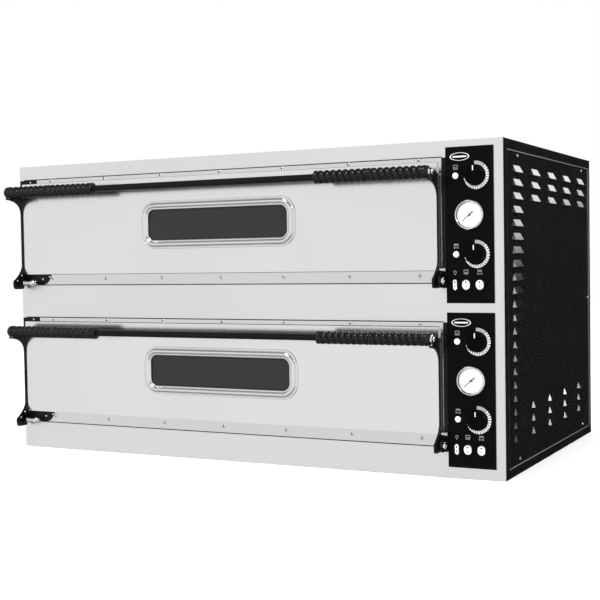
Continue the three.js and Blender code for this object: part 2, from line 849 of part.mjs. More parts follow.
/** The panel plate with its bezels, and the thermostat and switch bodies behind it. */
function controlPanel() {
  let body = block(
    [panelCentre - panelWidth / 2, panelCentre + panelWidth / 2],
    [panelFace, panelBack],
    [panelBottom, panelBottom + panelHeight],
  );
  const holes = [];
  knobHeights.forEach((z) => {
    const x = panelCentre + knobOffset;
    const half = thermostatSize / 2;
    const boxY = [thermostatNeck, thermostatNeck + thermostatDepth];
    body = join(
      body,
      barY(half * 0.6, [panelFace + panelSheet / 2, thermostatNeck + 1], x, z, 10),
      block([x - half, x + half], boxY, [z - half, z + half]),
    );
    const bore = boreFor(spindleRadius, spindleClearance, 12);
    holes.push(barY(bore, [panelFace - 1, thermostatNeck + knobDepth], x, z, 12));
    const pilotX = panelCentre + pilotOffset;
    holes.push(barY(boreFor(pilotBody, gap, 12), [panelFace - 1, 1], pilotX, z, 12));
  });
  const gaugeX = panelCentre + gaugeOffset;
  holes.push(barY(boreFor(gaugeCan, gap, gaugeSides), [panelFace - 1, 1], gaugeX, gaugeHeight, gaugeSides));
  switches.forEach(({ offset, width, height }) => {
    const x = panelCentre + offset;
    const z = panelBottom + switchHeight;
    const w = width + 2 * (switchGap + bezelRim);
    const h = height + 2 * (switchGap + bezelRim);
    const bezel = roundedRectangle(x, z, w, h, 4);
    body = join(body, frontPlate(bezel, [panelFace - bezelProud, 20], 2));
    const pocket = roundedRectangle(x, z, width + 2 * switchGap, height + 2 * switchGap, width / 2);
    holes.push(frontPlate(pocket, [panelFace - bezelProud - 1, switchDepth], 3));
  });
  return cut(body, ...holes);
}

/** A rocker, tipped to its off position about its own pivot at the origin. */
function rocker(width, height) {
  const outline = roundedRectangle(0, 0, width, height, width / 2);
  const geometry = new THREE.ExtrudeGeometry(outline, {
    depth: switchDepth - 2 * switchGap,
    bevelEnabled: false,
    curveSegments: 3,
  });
  geometry.rotateX(Math.PI / 2);
  geometry.translate(0, 3, 0);
  return geometry;
}

/** A control knob about its own axis: skirt, tapered body, pointer and spindle. */
function knob() {
  const standOff = panelFace - slideGap;
  const faceY = standOff - knobDepth;
  const turned = solid(turnedY([
    [0, thermostatNeck + 4],
    [spindleRadius, thermostatNeck + 4],
    [spindleRadius, standOff],
    [knobRadius, standOff],
    [knobRadius, standOff - 3],
    [knobRadius * 0.84, standOff - 5],
    [knobRadius * 0.78, faceY + 1.5],
    [knobRadius * 0.7, faceY],
    [0, faceY],
  ]));
  const pointer = block([-1.2, 1.2], [faceY - 0.8, faceY + 1], [knobRadius * 0.2, knobRadius * 0.66]);
  return join(turned, pointer);
}

/** The dial thermometer's case: can, bezel and a white dial set back behind the rim. */
function gaugeCase() {
  const backOfRim = panelFace - gap;
  const rim = backOfRim - gaugeProud;
  const dial = rim + dialDrop;
  return turnedY([
    [0, gaugeDepth],
    [gaugeCan, gaugeDepth],
    [gaugeCan, backOfRim],
    [gaugeRadius, backOfRim],
    [gaugeRadius, rim + 1.5],
    [gaugeRadius - 1.5, rim],
    [gaugeRadius - gaugeBezel + 0.8, rim],
    [gaugeRadius - gaugeBezel, rim + 1],
    [gaugeRadius - gaugeBezel, dial],
    [2, dial],
    [2, dial + 4],
    [0, dial + 4],
  ], gaugeSides);
}

/** The thermometer's needle about its own shaft, pointing at its zero, low on the left. */
function needle() {
  const dial = panelFace - gap - gaugeProud + dialDrop;
  const y = dial - 1.6;
  const blade = new THREE.Shape();
  blade.moveTo(-1.8, -needleTail);
  blade.lineTo(1.8, -needleTail);
  blade.lineTo(1.2, 0);
  blade.lineTo(0.5, needleReach);
  blade.lineTo(-0.5, needleReach);
  blade.lineTo(-1.2, 0);
  blade.closePath();
  return join(
    frontPlate(blade, [y - 0.6, y]),
    barY(3, [y - 1.4, y + 0.3], 0, 0, 12),
    barY(1.5, [y - 1, dial + 3], 0, 0, 8),
  );
}

/** A pilot lamp about its own axis: domed lens on a short rim, and its body. */
function pilot() {
  const base = panelFace - gap;
  return turnedY([
    [0, 16],
    [pilotBody, 16],
    [pilotBody, base],
    [pilotRadius, base],
    [pilotRadius, base - 1.6],
    [pilotRadius * 0.86, base - 3],
    [pilotRadius * 0.5, base - 4.4],
    [0, base - 5],
  ], 12);
}

/** One deck's control panel with its knobs, lamps, thermometer and switches. */
function controls(prefix) {
  const group = new THREE.Group();
  group.add(part(`${prefix}_control_panel`, controlPanel(), 'blackPaint'));
  ['bottom', 'top'].forEach((position, index) => {
    const z = knobHeights[index];
    const knobMesh = part(`${prefix}_knob_${position}`, knob(), 'blackPlastic');
    knobMesh.position.set(panelCentre + knobOffset, 0, z);
    const pilotMesh = part(`${prefix}_pilot_${position}`, pilot(), 'palePlastic');
    pilotMesh.position.set(panelCentre + pilotOffset, 0, z);
    group.add(knobMesh, pilotMesh);
  });
  const caseMesh = part(`${prefix}_gauge_case`, gaugeCase(), 'brightSteel');
  caseMesh.position.set(panelCentre + gaugeOffset, 0, gaugeHeight);
  const needleMesh = part(`${prefix}_gauge_needle`, needle(), 'blackPlastic');
  needleMesh.position.copy(caseMesh.position);
  needleMesh.rotation.y = THREE.MathUtils.degToRad(-130);
  group.add(caseMesh, needleMesh);
  switches.forEach(({ name, offset, width, height }) => {
    const mesh = part(`${prefix}_${name}`, rocker(width, height), 'palePlastic');
    mesh.position.set(panelCentre + offset, 0, panelBottom + switchHeight);
    mesh.rotation.x = switchTilt;
    group.add(mesh);
  });
  return group;
}

// ---- The oven ----

const oven = new THREE.Group();
oven.add(casing());
deckNames.forEach((name, index) => {
  const deck = new THREE.Group();
  deck.position.set(0, front, deckMargin + index * deckPitch);
  deck.add(ovenCavity(name));
  deck.add(door(name));
  deck.add(part(`${name}_hinge_bracket_left`, bracketLeft(), 'castBlack'));
  deck.add(part(`${name}_hinge_bracket_right`, bracketRight(), 'castBlack'));
  deck.add(controls(name));
  oven.add(deck);
});

export default oven;
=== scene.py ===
"""Looks of the countertop double deck pizza oven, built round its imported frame.

Every length is in metres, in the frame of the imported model: +Z is up, the front
faces -Y, and the origin is the centre of the casing's underside.
"""

import json
import math

import bmesh
import bpy
from mathutils import Matrix, Vector


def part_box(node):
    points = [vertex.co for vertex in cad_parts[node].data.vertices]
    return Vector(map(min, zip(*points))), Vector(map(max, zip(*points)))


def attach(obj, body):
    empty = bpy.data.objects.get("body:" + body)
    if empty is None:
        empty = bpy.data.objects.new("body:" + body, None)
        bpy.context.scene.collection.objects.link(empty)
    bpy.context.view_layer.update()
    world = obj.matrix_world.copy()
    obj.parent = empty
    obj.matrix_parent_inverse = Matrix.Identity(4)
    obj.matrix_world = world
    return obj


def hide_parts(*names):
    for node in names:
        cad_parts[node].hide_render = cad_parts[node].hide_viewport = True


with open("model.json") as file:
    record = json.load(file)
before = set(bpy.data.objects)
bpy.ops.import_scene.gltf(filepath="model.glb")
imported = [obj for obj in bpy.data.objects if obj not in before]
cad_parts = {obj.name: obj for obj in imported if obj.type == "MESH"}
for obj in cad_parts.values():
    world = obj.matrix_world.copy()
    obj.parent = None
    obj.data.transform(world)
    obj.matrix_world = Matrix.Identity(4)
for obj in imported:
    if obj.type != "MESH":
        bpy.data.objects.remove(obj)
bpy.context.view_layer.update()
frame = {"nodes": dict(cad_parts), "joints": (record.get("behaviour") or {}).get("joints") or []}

bl_info = {
    "name": "Deck pizza oven looks",
    "version": (1, 0, 0),
    "blender": (4, 5, 0),
    "location": "3D View > Sidebar > Pizza oven",
    "description": "Adds the details and finishes of a double deck pizza oven",
    "category": "Object",
}

DECKS = ("lower", "upper")


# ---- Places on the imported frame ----

def deck_box(deck, node):
    """Lowest and highest corner of one deck's node."""
    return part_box(f"{deck}_{node}")


def middle(corners):
    """The centre of a pair of corners."""
    return (corners[0] + corners[1]) / 2


def facing(point, normal):
    """A place on a face: local Z along its normal, local Y up it, or to the back if it is level."""
    z = Vector(normal).normalized()
    up = Vector((0, 0, 1)) if abs(z.z) < 0.9 else Vector((0, 1, 0))
    x = up.cross(z).normalized()
    y = z.cross(x)
    place = Matrix((x, y, z)).transposed().to_4x4()
    place.translation = Vector(point)
    return place


FRONT = (0, -1, 0)
BACK = (0, 1, 0)
RIGHT = (1, 0, 0)
LEFT = (-1, 0, 0)


# ---- Mesh work ----

def put(bm, known, place):
    """Moves what was added since the known vertices to its place."""
    added = [v for v in bm.verts if v not in known]
    bmesh.ops.transform(bm, matrix=place, verts=added)


def add_block(bm, place, low, high, bevel=0.0, segments=2):
    """A block between two local corners, with its edges rounded."""
    known = set(bm.verts)
    low, high = Vector(low), Vector(high)
    sizes = Matrix.Diagonal((*(high - low), 1))
    made = bmesh.ops.create_cube(bm, size=1, matrix=Matrix.Translation((low + high) / 2) @ sizes)
    if bevel:
        edges = {e for v in made["verts"] for e in v.link_edges}
        bmesh.ops.bevel(
            bm, geom=list(edges), offset=bevel, segments=segments,
            profile=0.5, affect="EDGES", material=-1,
        )
    put(bm, known, place)


def add_rounded_plate(bm, place, width, height, radius, low, high, corner=6, rim=0.0):
    """A plate round the local origin with round corners and softened face edges."""
    known = set(bm.verts)
    sizes = Matrix.Diagonal((width, height, high - low, 1))
    move = Matrix.Translation((0, 0, (low + high) / 2))
    made = bmesh.ops.create_cube(bm, size=1, matrix=move @ sizes)
    upright = [
        e for e in {e for v in made["verts"] for e in v.link_edges}
        if abs((e.verts[0].co - e.verts[1].co).z) > (high - low) / 2
    ]
    bmesh.ops.bevel(
        bm, geom=upright, offset=min(radius, width / 2 - 1e-5, height / 2 - 1e-5),
        segments=corner, profile=0.5, affect="EDGES", material=-1,
    )
    if rim:
        faces = [f for f in bm.faces if f.verts[0] not in known and f.normal.z > 0.9]
        edges = [e for f in faces for e in f.edges]
        bmesh.ops.bevel(
            bm, geom=edges, offset=rim, segments=3, profile=0.5, affect="EDGES", material=-1,
        )
    put(bm, known, place)


def add_turned(bm, place, profile, steps=32):
    """A turned piece about local Z from (radius, height) pairs."""
    known = set(bm.verts)
    verts = [bm.verts.new((radius, 0, height)) for radius, height in profile]
    edges = [bm.edges.new(pair) for pair in zip(verts, verts[1:])]
    bmesh.ops.spin(
        bm, geom=verts + edges, cent=(0, 0, 0), axis=(0, 0, 1), dvec=(0, 0, 0),
        angle=2 * math.pi, steps=steps, use_merge=True, use_duplicate=False,
    )
    added = [v for v in bm.verts if v not in known]
    bmesh.ops.remove_doubles(bm, verts=added, dist=1e-6)
    put(bm, known, place)


def add_arc(bm, place, inner, outer, low, high, start, end, steps):
    """A flat arc about local Z; angles in degrees, clockwise from local Y."""
    known = set(bm.verts)
    corners = [(inner, low), (outer, low), (outer, high), (inner, high)]
    turn = Matrix.Rotation(math.radians(90 - start), 3, "Z")
    verts = [bm.verts.new(turn @ Vector((radius, 0, height))) for radius, height in corners]
    face = bm.faces.new(verts)
    bmesh.ops.spin(
        bm, geom=[face], cent=(0, 0, 0), axis=(0, 0, 1), dvec=(0, 0, 0),
        angle=-math.radians(end - start), steps=steps, use_merge=False,
    )
    put(bm, known, place)


def add_rounded_loop(bm, width, height, radius, level, corner):
    """The edges of a rectangle with round corners round the local origin, at one height."""
    verts = []
    for sign_x, sign_y, start in ((1, 1, 0), (-1, 1, 90), (-1, -1, 180), (1, -1, 270)):
        centre = Vector((sign_x * (width / 2 - radius), sign_y * (height / 2 - radius), level))
        for step in range(corner + 1):
            angle = math.radians(start + 90 * step / corner)
            verts.append(bm.verts.new(centre + Vector((math.cos(angle), math.sin(angle), 0)) * radius))
    return [bm.edges.new(pair) for pair in zip(verts, verts[1:] + verts[:1])]


def add_rounded_ring(bm, place, width, height, radius, profile, corner=10):
    """A closed moulding round a rectangle, extruded through (inset, height) pairs in turn."""
    known = set(bm.verts)
    inset, level = profile[0]
    edges = add_rounded_loop(bm, width - 2 * inset, height - 2 * inset, radius - inset, level, corner)
    half_x, half_y = width / 2 - radius, height / 2 - radius
    for inset, level in profile[1:] + profile[:1]:
        made = bmesh.ops.extrude_edge_only(bm, edges=edges)["geom"]
        edges = [g for g in made if isinstance(g, bmesh.types.BMEdge)]
        for vert in [g for g in made if isinstance(g, bmesh.types.BMVert)]:
            pivot = Vector((math.copysign(half_x, vert.co.x), math.copysign(half_y, vert.co.y)))
            spot = pivot + (vert.co.xy - pivot).normalized() * (radius - inset)
            vert.co = (spot.x, spot.y, level)
    bmesh.ops.remove_doubles(bm, verts=[v for v in bm.verts if v not in known], dist=1e-6)
    put(bm, known, place)


def add_hex(bm, place, radius, low, high, bevel=0.0004):
    """A six-sided nut or bolt head about local Z."""
    known = set(bm.verts)
    move = Matrix.Translation((0, 0, (low + high) / 2))
    made = bmesh.ops.create_cone(
        bm, cap_ends=True, segments=6, radius1=radius, radius2=radius,
        depth=high - low, matrix=move,
    )
    edges = {e for v in made["verts"] for e in v.link_edges}
    bmesh.ops.bevel(
        bm, geom=list(edges), offset=bevel, segments=2, profile=0.5,
        affect="EDGES", material=-1,
    )
    put(bm, known, place)


def add_screw(bm, place, radius, height, steps=16):
    """A domed screw head with a socket, on a thin washer face."""
    add_turned(bm, place, [
        (0, height * 0.45), (radius * 0.34, height * 0.45), (radius * 0.4, height * 0.96),
        (radius * 0.52, height), (radius * 0.76, height * 0.82), (radius * 0.93, height * 0.45),
        (radius, height * 0.08), (radius, -0.0003), (0, -0.0003),
    ], steps)


def finish_piece(bm, name, finish, body, sharp=32):
    """Makes the mesh an object with its finish, riding on its body."""
    bmesh.ops.recalc_face_normals(bm, faces=bm.faces)
    limit = math.radians(sharp)
    for edge in bm.edges:
        edge.smooth = len(edge.link_faces) == 2 and edge.calc_face_angle(math.pi) < limit
    for face in bm.faces:
        face.smooth = True
    mesh = bpy.data.meshes.new(name)
    bm.to_mesh(mesh)
    bm.free()
    mesh.materials.append(finishes[finish])
    piece = bpy.data.objects.new(name, mesh)
    bpy.context.scene.collection.objects.link(piece)
    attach(piece, body)
    return piece


def dress(node, finish):
    """Gives a node of the frame its finish."""
    mesh = frame["nodes"][node].data
    mesh.materials.clear()
    mesh.materials.append(finishes[finish])


# ---- Node groups ----

def new_group(name, inputs, outputs):
    """An empty shader group with named sockets; each input is (name, kind, default)."""
    group = bpy.data.node_groups.new(name, "ShaderNodeTree")
    for label, kind, default in inputs:
        socket = group.interface.new_socket(label, in_out="INPUT", socket_type=kind)
        socket.default_value = default
    for label, kind in outputs:
        group.interface.new_socket(label, in_out="OUTPUT", socket_type=kind)
    return group, group.nodes.new("NodeGroupInput"), group.nodes.new("NodeGroupOutput")


def node(tree, kind, settings=None, **values):
    """A node with its settings and the values of its named inputs, or links to them."""
    made = tree.nodes.new(kind)
    for key, value in (settings or {}).items():
        setattr(made, key, value)
    for key, value in values.items():
        socket = made.inputs[int(key[1:])] if key[0] == "i" and key[1:].isdigit() else made.inputs[key]
        if isinstance(value, bpy.types.NodeSocket):
            tree.links.new(value, socket)
        else:
            socket.default_value = value
    return made


def math_node(tree, operation, a, b=0.0):
    """The result of a sum on two values."""
    return node(tree, "ShaderNodeMath", {"operation": operation}, i0=a, i1=b).outputs[0]


def mix_colour(tree, factor, a, b):
    """A colour mixed between two others."""
    made = node(tree, "ShaderNodeMix", {"data_type": "RGBA"}, i0=factor, i6=a, i7=b)
    return made.outputs[2]


def ramp(tree, value, low, high, out_low=0.0, out_high=1.0):
    """A value mapped smoothly from one span to another."""
    made = node(tree, "ShaderNodeMapRange", {"interpolation_type": "SMOOTHSTEP"},
                i0=value, i1=low, i2=high, i3=out_low, i4=out_high)
    return made.outputs[0]


def brushed_group():
    """Fine parallel grain, drawn out along one axis, with slow clouding over it."""
    group, into, out = new_group(
        "Brushed grain",
        [("Along", "NodeSocketVector", (6, 900, 900)), ("Cloud Scale", "NodeSocketFloat", 3.0)],
        [("Grain", "NodeSocketFloat"), ("Cloud", "NodeSocketFloat")],
    )
    place = node(group, "ShaderNodeTexCoord").outputs["Object"]
    drawn = node(group, "ShaderNodeMapping", Vector=place, Scale=into.outputs["Along"])
    grain = node(group, "ShaderNodeTexNoise", Vector=drawn.outputs[0], Scale=1.0, Detail=3.0)
    cloud = node(group, "ShaderNodeTexNoise", Vector=place, Scale=into.outputs["Cloud Scale"], Detail=2.0)
    group.links.new(grain.outputs[0], out.inputs["Grain"])
    group.links.new(ramp(group, cloud.outputs[0], 0.35, 0.65), out.inputs["Cloud"])
    return group


def grit_group():
    """The fine bumps of a powder coat or a moulded surface, and faint dust in it."""
    group, into, out = new_group(
        "Fine grit",
        [("Scale", "NodeSocketFloat", 900.0), ("Dust Scale", "NodeSocketFloat", 12.0)],
        [("Height", "NodeSocketFloat"), ("Dust", "NodeSocketFloat")],
    )
    place = node(group, "ShaderNodeTexCoord").outputs["Object"]
    bumps = node(group, "ShaderNodeTexVoronoi", {"feature": "SMOOTH_F1"},
                 Vector=place, Scale=into.outputs["Scale"])
    dust = node(group, "ShaderNodeTexNoise", Vector=place, Scale=into.outputs["Dust Scale"],
                Detail=6.0, Roughness=0.65)
    group.links.new(bumps.outputs["Distance"], out.inputs["Height"])
    group.links.new(ramp(group, dust.outputs[0], 0.52, 0.78), out.inputs["Dust"])
    return group


def use_group(tree, group, **values):
    """Places a group in a material."""
    made = tree.nodes.new("ShaderNodeGroup")
    made.node_tree = group
    for key, value in values.items():
        made.inputs[key.replace("_", " ")].default_value = value
    return made


# ---- Finishes ----

def plain_shader(name, **values):
    """A material with a Principled shader whose constants are set on its sockets."""
    material = bpy.data.materials.new(name)
    material.use_nodes = True
    shader = material.node_tree.nodes["Principled BSDF"]
    for key, value in values.items():
        shader.inputs[key.replace("_", " ")].default_value = value
    return material, material.node_tree, shader


def set_bump(tree, shader, height, distance, strength=1.0):
    """Feeds a height to the shader's normal."""
    bump = node(tree, "ShaderNodeBump", Height=height, Distance=distance, Strength=strength)
    tree.links.new(bump.outputs[0], shader.inputs["Normal"])


def metal(name, group, tone, rough, along, bump=0.00002, cloud=3.0, spread=0.06):
    """Steel with a directional grain: clouded tone, grain in roughness and bump."""
    material, tree, shader = plain_shader(name, Metallic=1.0)
    grain = use_group(tree, group, Along=along, Cloud_Scale=cloud)
    dark = tuple(c * (1 - spread) for c in tone[:3]) + (1,)
    light = tuple(min(1, c * (1 + spread / 2)) for c in tone[:3]) + (1,)
    share = math_node(tree, "MULTIPLY", grain.outputs["Grain"], 0.6)
    mixed = math_node(tree, "ADD", share, math_node(tree, "MULTIPLY", grain.outputs["Cloud"], 0.4))
    tree.links.new(mix_colour(tree, mixed, dark, light), shader.inputs["Base Color"])
    tree.links.new(ramp(tree, grain.outputs["Grain"], 0.25, 0.75, rough * 0.85, rough * 1.15),
                   shader.inputs["Roughness"])
    set_bump(tree, shader, grain.outputs["Grain"], bump, 0.5)
    return material


def coated(name, group, tone, rough, scale, bump, dusty=0.0, specular=0.5, dust_scale=12.0):
    """A painted or moulded surface: fine grit in the bump, faint dust in tone and gloss."""
    material, tree, shader = plain_shader(name, Specular_IOR_Level=specular)
    grit = use_group(tree, group, Scale=scale, Dust_Scale=dust_scale)
    dusted = tuple(c + dusty for c in tone[:3]) + (1,)
    tree.links.new(mix_colour(tree, grit.outputs["Dust"], (*tone[:3], 1), dusted),
                   shader.inputs["Base Color"])
    tree.links.new(ramp(tree, grit.outputs["Dust"], 0.0, 1.0, rough, min(1, rough * 1.35)),
                   shader.inputs["Roughness"])
    set_bump(tree, shader, grit.outputs["Height"], bump, 0.6)
    return material


def heat_toned(name, group, edge_y):
    """Aluminised sheet, clean steel ahead of the fascia and straw to brown tints behind it."""
    material, tree, shader = plain_shader(name, Metallic=1.0)
    grain = use_group(tree, group, Along=(10, 10, 500), Cloud_Scale=4.0)
    place = node(tree, "ShaderNodeTexCoord").outputs["Object"]
    depth = node(tree, "ShaderNodeSeparateXYZ", Vector=place).outputs[1]
    inside = ramp(tree, depth, edge_y, edge_y + 0.002)
    tint = mix_colour(tree, grain.outputs["Cloud"], (0.40, 0.36, 0.30, 1), (0.22, 0.18, 0.14, 1))
    tree.links.new(mix_colour(tree, inside, (0.78, 0.785, 0.79, 1), tint), shader.inputs["Base Color"])
    tree.links.new(ramp(tree, inside, 0.0, 1.0, 0.2, 0.48), shader.inputs["Roughness"])
    set_bump(tree, shader, grain.outputs["Grain"], 0.00002, 0.5)
    return material


def stone_finish(name):
    """Pale pressed stone: fine grain, scattered dark specks and baked flour stains."""
    material, tree, shader = plain_shader(name, Specular_IOR_Level=0.25)
    place = node(tree, "ShaderNodeTexCoord").outputs["Object"]
    grain = node(tree, "ShaderNodeTexNoise", Vector=place, Scale=320.0, Detail=6.0)
    stain = node(tree, "ShaderNodeTexNoise", Vector=place, Scale=7.0, Detail=5.0, Roughness=0.7)
    speck = node(tree, "ShaderNodeTexVoronoi", Vector=place, Scale=260.0)
    base = mix_colour(tree, grain.outputs[0], (0.42, 0.34, 0.24, 1), (0.66, 0.57, 0.43, 1))
    baked = mix_colour(tree, ramp(tree, stain.outputs[0], 0.48, 0.75), base, (0.2, 0.13, 0.07, 1))
    dots = ramp(tree, speck.outputs["Distance"], 0.08, 0.16, 1.0, 0.0)
    tree.links.new(mix_colour(tree, math_node(tree, "MULTIPLY", dots, 0.5), baked, (0.1, 0.07, 0.05, 1)),
                   shader.inputs["Base Color"])
    tree.links.new(ramp(tree, stain.outputs[0], 0.3, 0.8, 0.95, 0.7), shader.inputs["Roughness"])
    set_bump(tree, shader, grain.outputs[0], 0.0004, 0.7)
    return material


def wool_finish(name):
    """Mineral wool: matted pale fibres."""
    material, tree, shader = plain_shader(name, Specular_IOR_Level=0.1)
    place = node(tree, "ShaderNodeTexCoord").outputs["Object"]
    drawn = node(tree, "ShaderNodeMapping", Vector=place, Scale=(40, 160, 420))
    fibre = node(tree, "ShaderNodeTexNoise", Vector=drawn.outputs[0], Scale=1.0, Detail=8.0,
                 Distortion=1.5)
    tree.links.new(mix_colour(tree, fibre.outputs[0], (0.4, 0.36, 0.2, 1), (0.75, 0.71, 0.5, 1)),
                   shader.inputs["Base Color"])
    tree.links.new(ramp(tree, fibre.outputs[0], 0.2, 0.8, 0.9, 1.0), shader.inputs["Roughness"])
    set_bump(tree, shader, fibre.outputs[0], 0.003, 1.0)
    return material


def glass_finish(name, tone, rough, transmission, alpha=1.0):
    """Glass with faint wipe marks in its gloss."""
    material, tree, shader = plain_shader(
        name, Base_Color=tone, Transmission_Weight=transmission, IOR=1.48, Alpha=alpha)
    place = node(tree, "ShaderNodeTexCoord").outputs["Object"]
    drawn = node(tree, "ShaderNodeMapping", Vector=place, Scale=(5, 5, 40))
    wipe = node(tree, "ShaderNodeTexNoise", Vector=drawn.outputs[0], Scale=1.0, Detail=4.0)
    tree.links.new(ramp(tree, wipe.outputs[0], 0.45, 0.8, rough, rough + 0.06), shader.inputs["Roughness"])
    return material


def printed(name, tone, rough=0.45):
    """Printing ink or a pale moulding, very slightly uneven."""
    material, tree, shader = plain_shader(name)
    place = node(tree, "ShaderNodeTexCoord").outputs["Object"]
    uneven = node(tree, "ShaderNodeTexNoise", Vector=place, Scale=600.0, Detail=2.0)
    darker = tuple(c * 0.93 for c in tone[:3]) + (1,)
    tree.links.new(mix_colour(tree, uneven.outputs[0], darker, tone), shader.inputs["Base Color"])
    tree.links.new(ramp(tree, uneven.outputs[0], 0.3, 0.7, rough * 0.9, rough * 1.1),
                   shader.inputs["Roughness"])
    return material


finishes = {}


def make_finishes(looks):
    """Builds every finish once, from the tones the user can set."""
    brushed = brushed_group()
    grit = grit_group()
    steel, paint = tuple(looks.steel_tone), tuple(looks.paint_tone)
    across, upright = (5, 1000, 1000), (1000, 1000, 5)
    front_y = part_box("front_fascia")[0].y
    finishes.update({
        "fascia steel": metal("Fascia steel", brushed, steel, 0.34, across, cloud=1.6),
        "door steel": metal("Door steel", brushed, steel, looks.door_gloss, across, cloud=2.0),
        "bright steel": metal("Bright steel", brushed, (0.86, 0.865, 0.87), 0.14, across, 0.00001),
        "chrome": metal("Bright plated steel", brushed, (0.85, 0.85, 0.86), 0.08, upright, 0.000004),
        "chamber sheet": heat_toned("Aluminised chamber sheet", brushed, front_y),
        "casing paint": coated("Black casing paint", grit, paint, 0.17, 700.0, 0.00002, 0.006),
        # Painted highlight: the lighter grey of the fold strips stands for light catching the folded hems
        "fold highlight paint": coated("Painted fold highlight paint", grit, (0.2, 0.2, 0.205), 0.3, 700.0, 0.00002, 0.05),
        "panel paint": coated("Black panel paint", grit, (0.002, 0.002, 0.0022), 0.34, 1400.0,
                              0.00001, 0.002, specular=0.05),
        "cast enamel": coated("Black enamelled casting", grit, (0.004, 0.004, 0.0044), 0.26, 320.0,
                              0.00005, 0.003, specular=0.16),
        "bar enamel": coated("Black enamelled bar", grit, (0.004, 0.004, 0.0044), 0.3, 900.0,
                             0.00001, 0.002, specular=0.16),
        "grip moulding": coated("Black ribbed moulding", grit, (0.004, 0.004, 0.0045), 0.24, 900.0,
                                0.00002, 0.003, specular=0.35),
        "knob moulding": coated("Black knob moulding", grit, (0.002, 0.002, 0.002), 0.42, 1800.0,
                                0.00002, 0.001, specular=0.02),
        # Black rubber, also used for the black strips and rings painted as shade at the flanges, the door
        # gaps and the dial rim.
        "rubber and shade": coated("Black rubber", grit, (0.012, 0.012, 0.012), 0.7, 500.0, 0.00005, 0.01),
        "element sheath": coated("Oxidised element sheath", grit, (0.07, 0.065, 0.06), 0.55, 800.0,
                                 0.00004, 0.05),
        "white print": printed("White panel print", (0.8, 0.8, 0.8, 1)),
        "grey print": printed("Grey panel print", (0.38, 0.38, 0.38, 1)),
        # Black print, also used for the painted shade in the flange screws' sockets.
        "black print and shade": printed("Black print and painted shade", (0.01, 0.01, 0.01, 1)),
        "dial card": printed("White dial card", (0.86, 0.86, 0.85, 1), 0.4),
        "dial print": printed("Faint dial print", (0.35, 0.35, 0.36, 1)),
        "pale moulding": printed("Pale rocker moulding", (0.82, 0.82, 0.8, 1), 0.22),
        "pilot lens": printed("White pilot lens", (0.92, 0.92, 0.91, 1), 0.18),
        "dark glass": glass_finish("Dark oven glass", (0.02, 0.02, 0.021, 1), 0.03, 0.5),
        "dial glass": glass_finish("Dial glass", (0.95, 0.96, 0.96, 1), 0.02, 0.0, 0.06),
        "lamp glass": glass_finish("Frosted lamp glass", (0.85, 0.84, 0.8, 1), 0.35, 0.6),
        "stone": stone_finish("Baking stone"),
        "wool": wool_finish("Mineral wool"),
    })


# ---- What the user can set ----

class OvenLooks(bpy.types.PropertyGroup):
    """Tones and glosses of the oven's finishes."""

    steel_tone: bpy.props.FloatVectorProperty(
        name="Steel tone", description="Colour of the stainless sheets",
        default=(0.9, 0.903, 0.908), subtype="COLOR", min=0, max=1)
    door_gloss: bpy.props.FloatProperty(
        name="Door roughness", description="How blurred the reflections in the doors are",
        default=0.2, min=0.02, max=1, subtype="FACTOR")
    paint_tone: bpy.props.FloatVectorProperty(
        name="Paint tone", description="Colour of the painted casing",
        default=(0.005, 0.005, 0.0055), subtype="COLOR", min=0, max=1)


class OvenDetails(bpy.types.PropertyGroup):
    """Sizes of the added details."""

    strip_screw_pitch: bpy.props.FloatProperty(
        name="Strip screw pitch", description="Distance between two screws of a flange strip",
        default=0.1735, unit="LENGTH")
    strip_screw_radius: bpy.props.FloatProperty(
        name="Strip screw radius", description="Radius of a flange screw's head",
        default=0.0045, unit="LENGTH")
    casing_screw_radius: bpy.props.FloatProperty(
        name="Casing screw radius", description="Radius of a casing screw's head",
        default=0.004, unit="LENGTH")
    scale_radius: bpy.props.FloatProperty(
        name="Scale radius", description="Outer radius of the ring printed round a knob",
        default=0.031, unit="LENGTH")
    print_thickness: bpy.props.FloatProperty(
        name="Print thickness", description="How far printing stands off its panel",
        default=0.00012, unit="LENGTH")
    window_corner: bpy.props.FloatProperty(
        name="Window frame corner", description="Outer corner radius of the window frame",
        default=0.04, unit="LENGTH")
    stone_slabs: bpy.props.IntProperty(
        name="Stone slabs", description="Slabs laid side by side on each deck", default=3, min=1)


class OvenStage(bpy.types.PropertyGroup):
    """Camera and light."""

    camera_place: bpy.props.FloatVectorProperty(
        name="Camera place", description="Where the camera stands",
        default=(1.4386, -2.8553, 0.4962), subtype="TRANSLATION")
    camera_yaw: bpy.props.FloatProperty(
        name="Camera yaw", description="Turn to the left from looking along +Y",
        default=math.radians(27.247), subtype="ANGLE")
    camera_pitch: bpy.props.FloatProperty(
        name="Camera pitch", description="Tilt up from level",
        default=math.radians(-2.071), subtype="ANGLE")
    camera_roll: bpy.props.FloatProperty(
        name="Camera roll", description="Turn about the view line",
        default=math.radians(-0.909), subtype="ANGLE")
    camera_lens: bpy.props.FloatProperty(
        name="Camera lens", description="Focal length in millimetres on a 36 mm sensor",
        default=70.22)
    floor_tone: bpy.props.FloatVectorProperty(
        name="Floor tone", description="Colour of the floor",
        default=(0.96, 0.96, 0.96), subtype="COLOR", min=0, max=1)


# ---- Operators ----

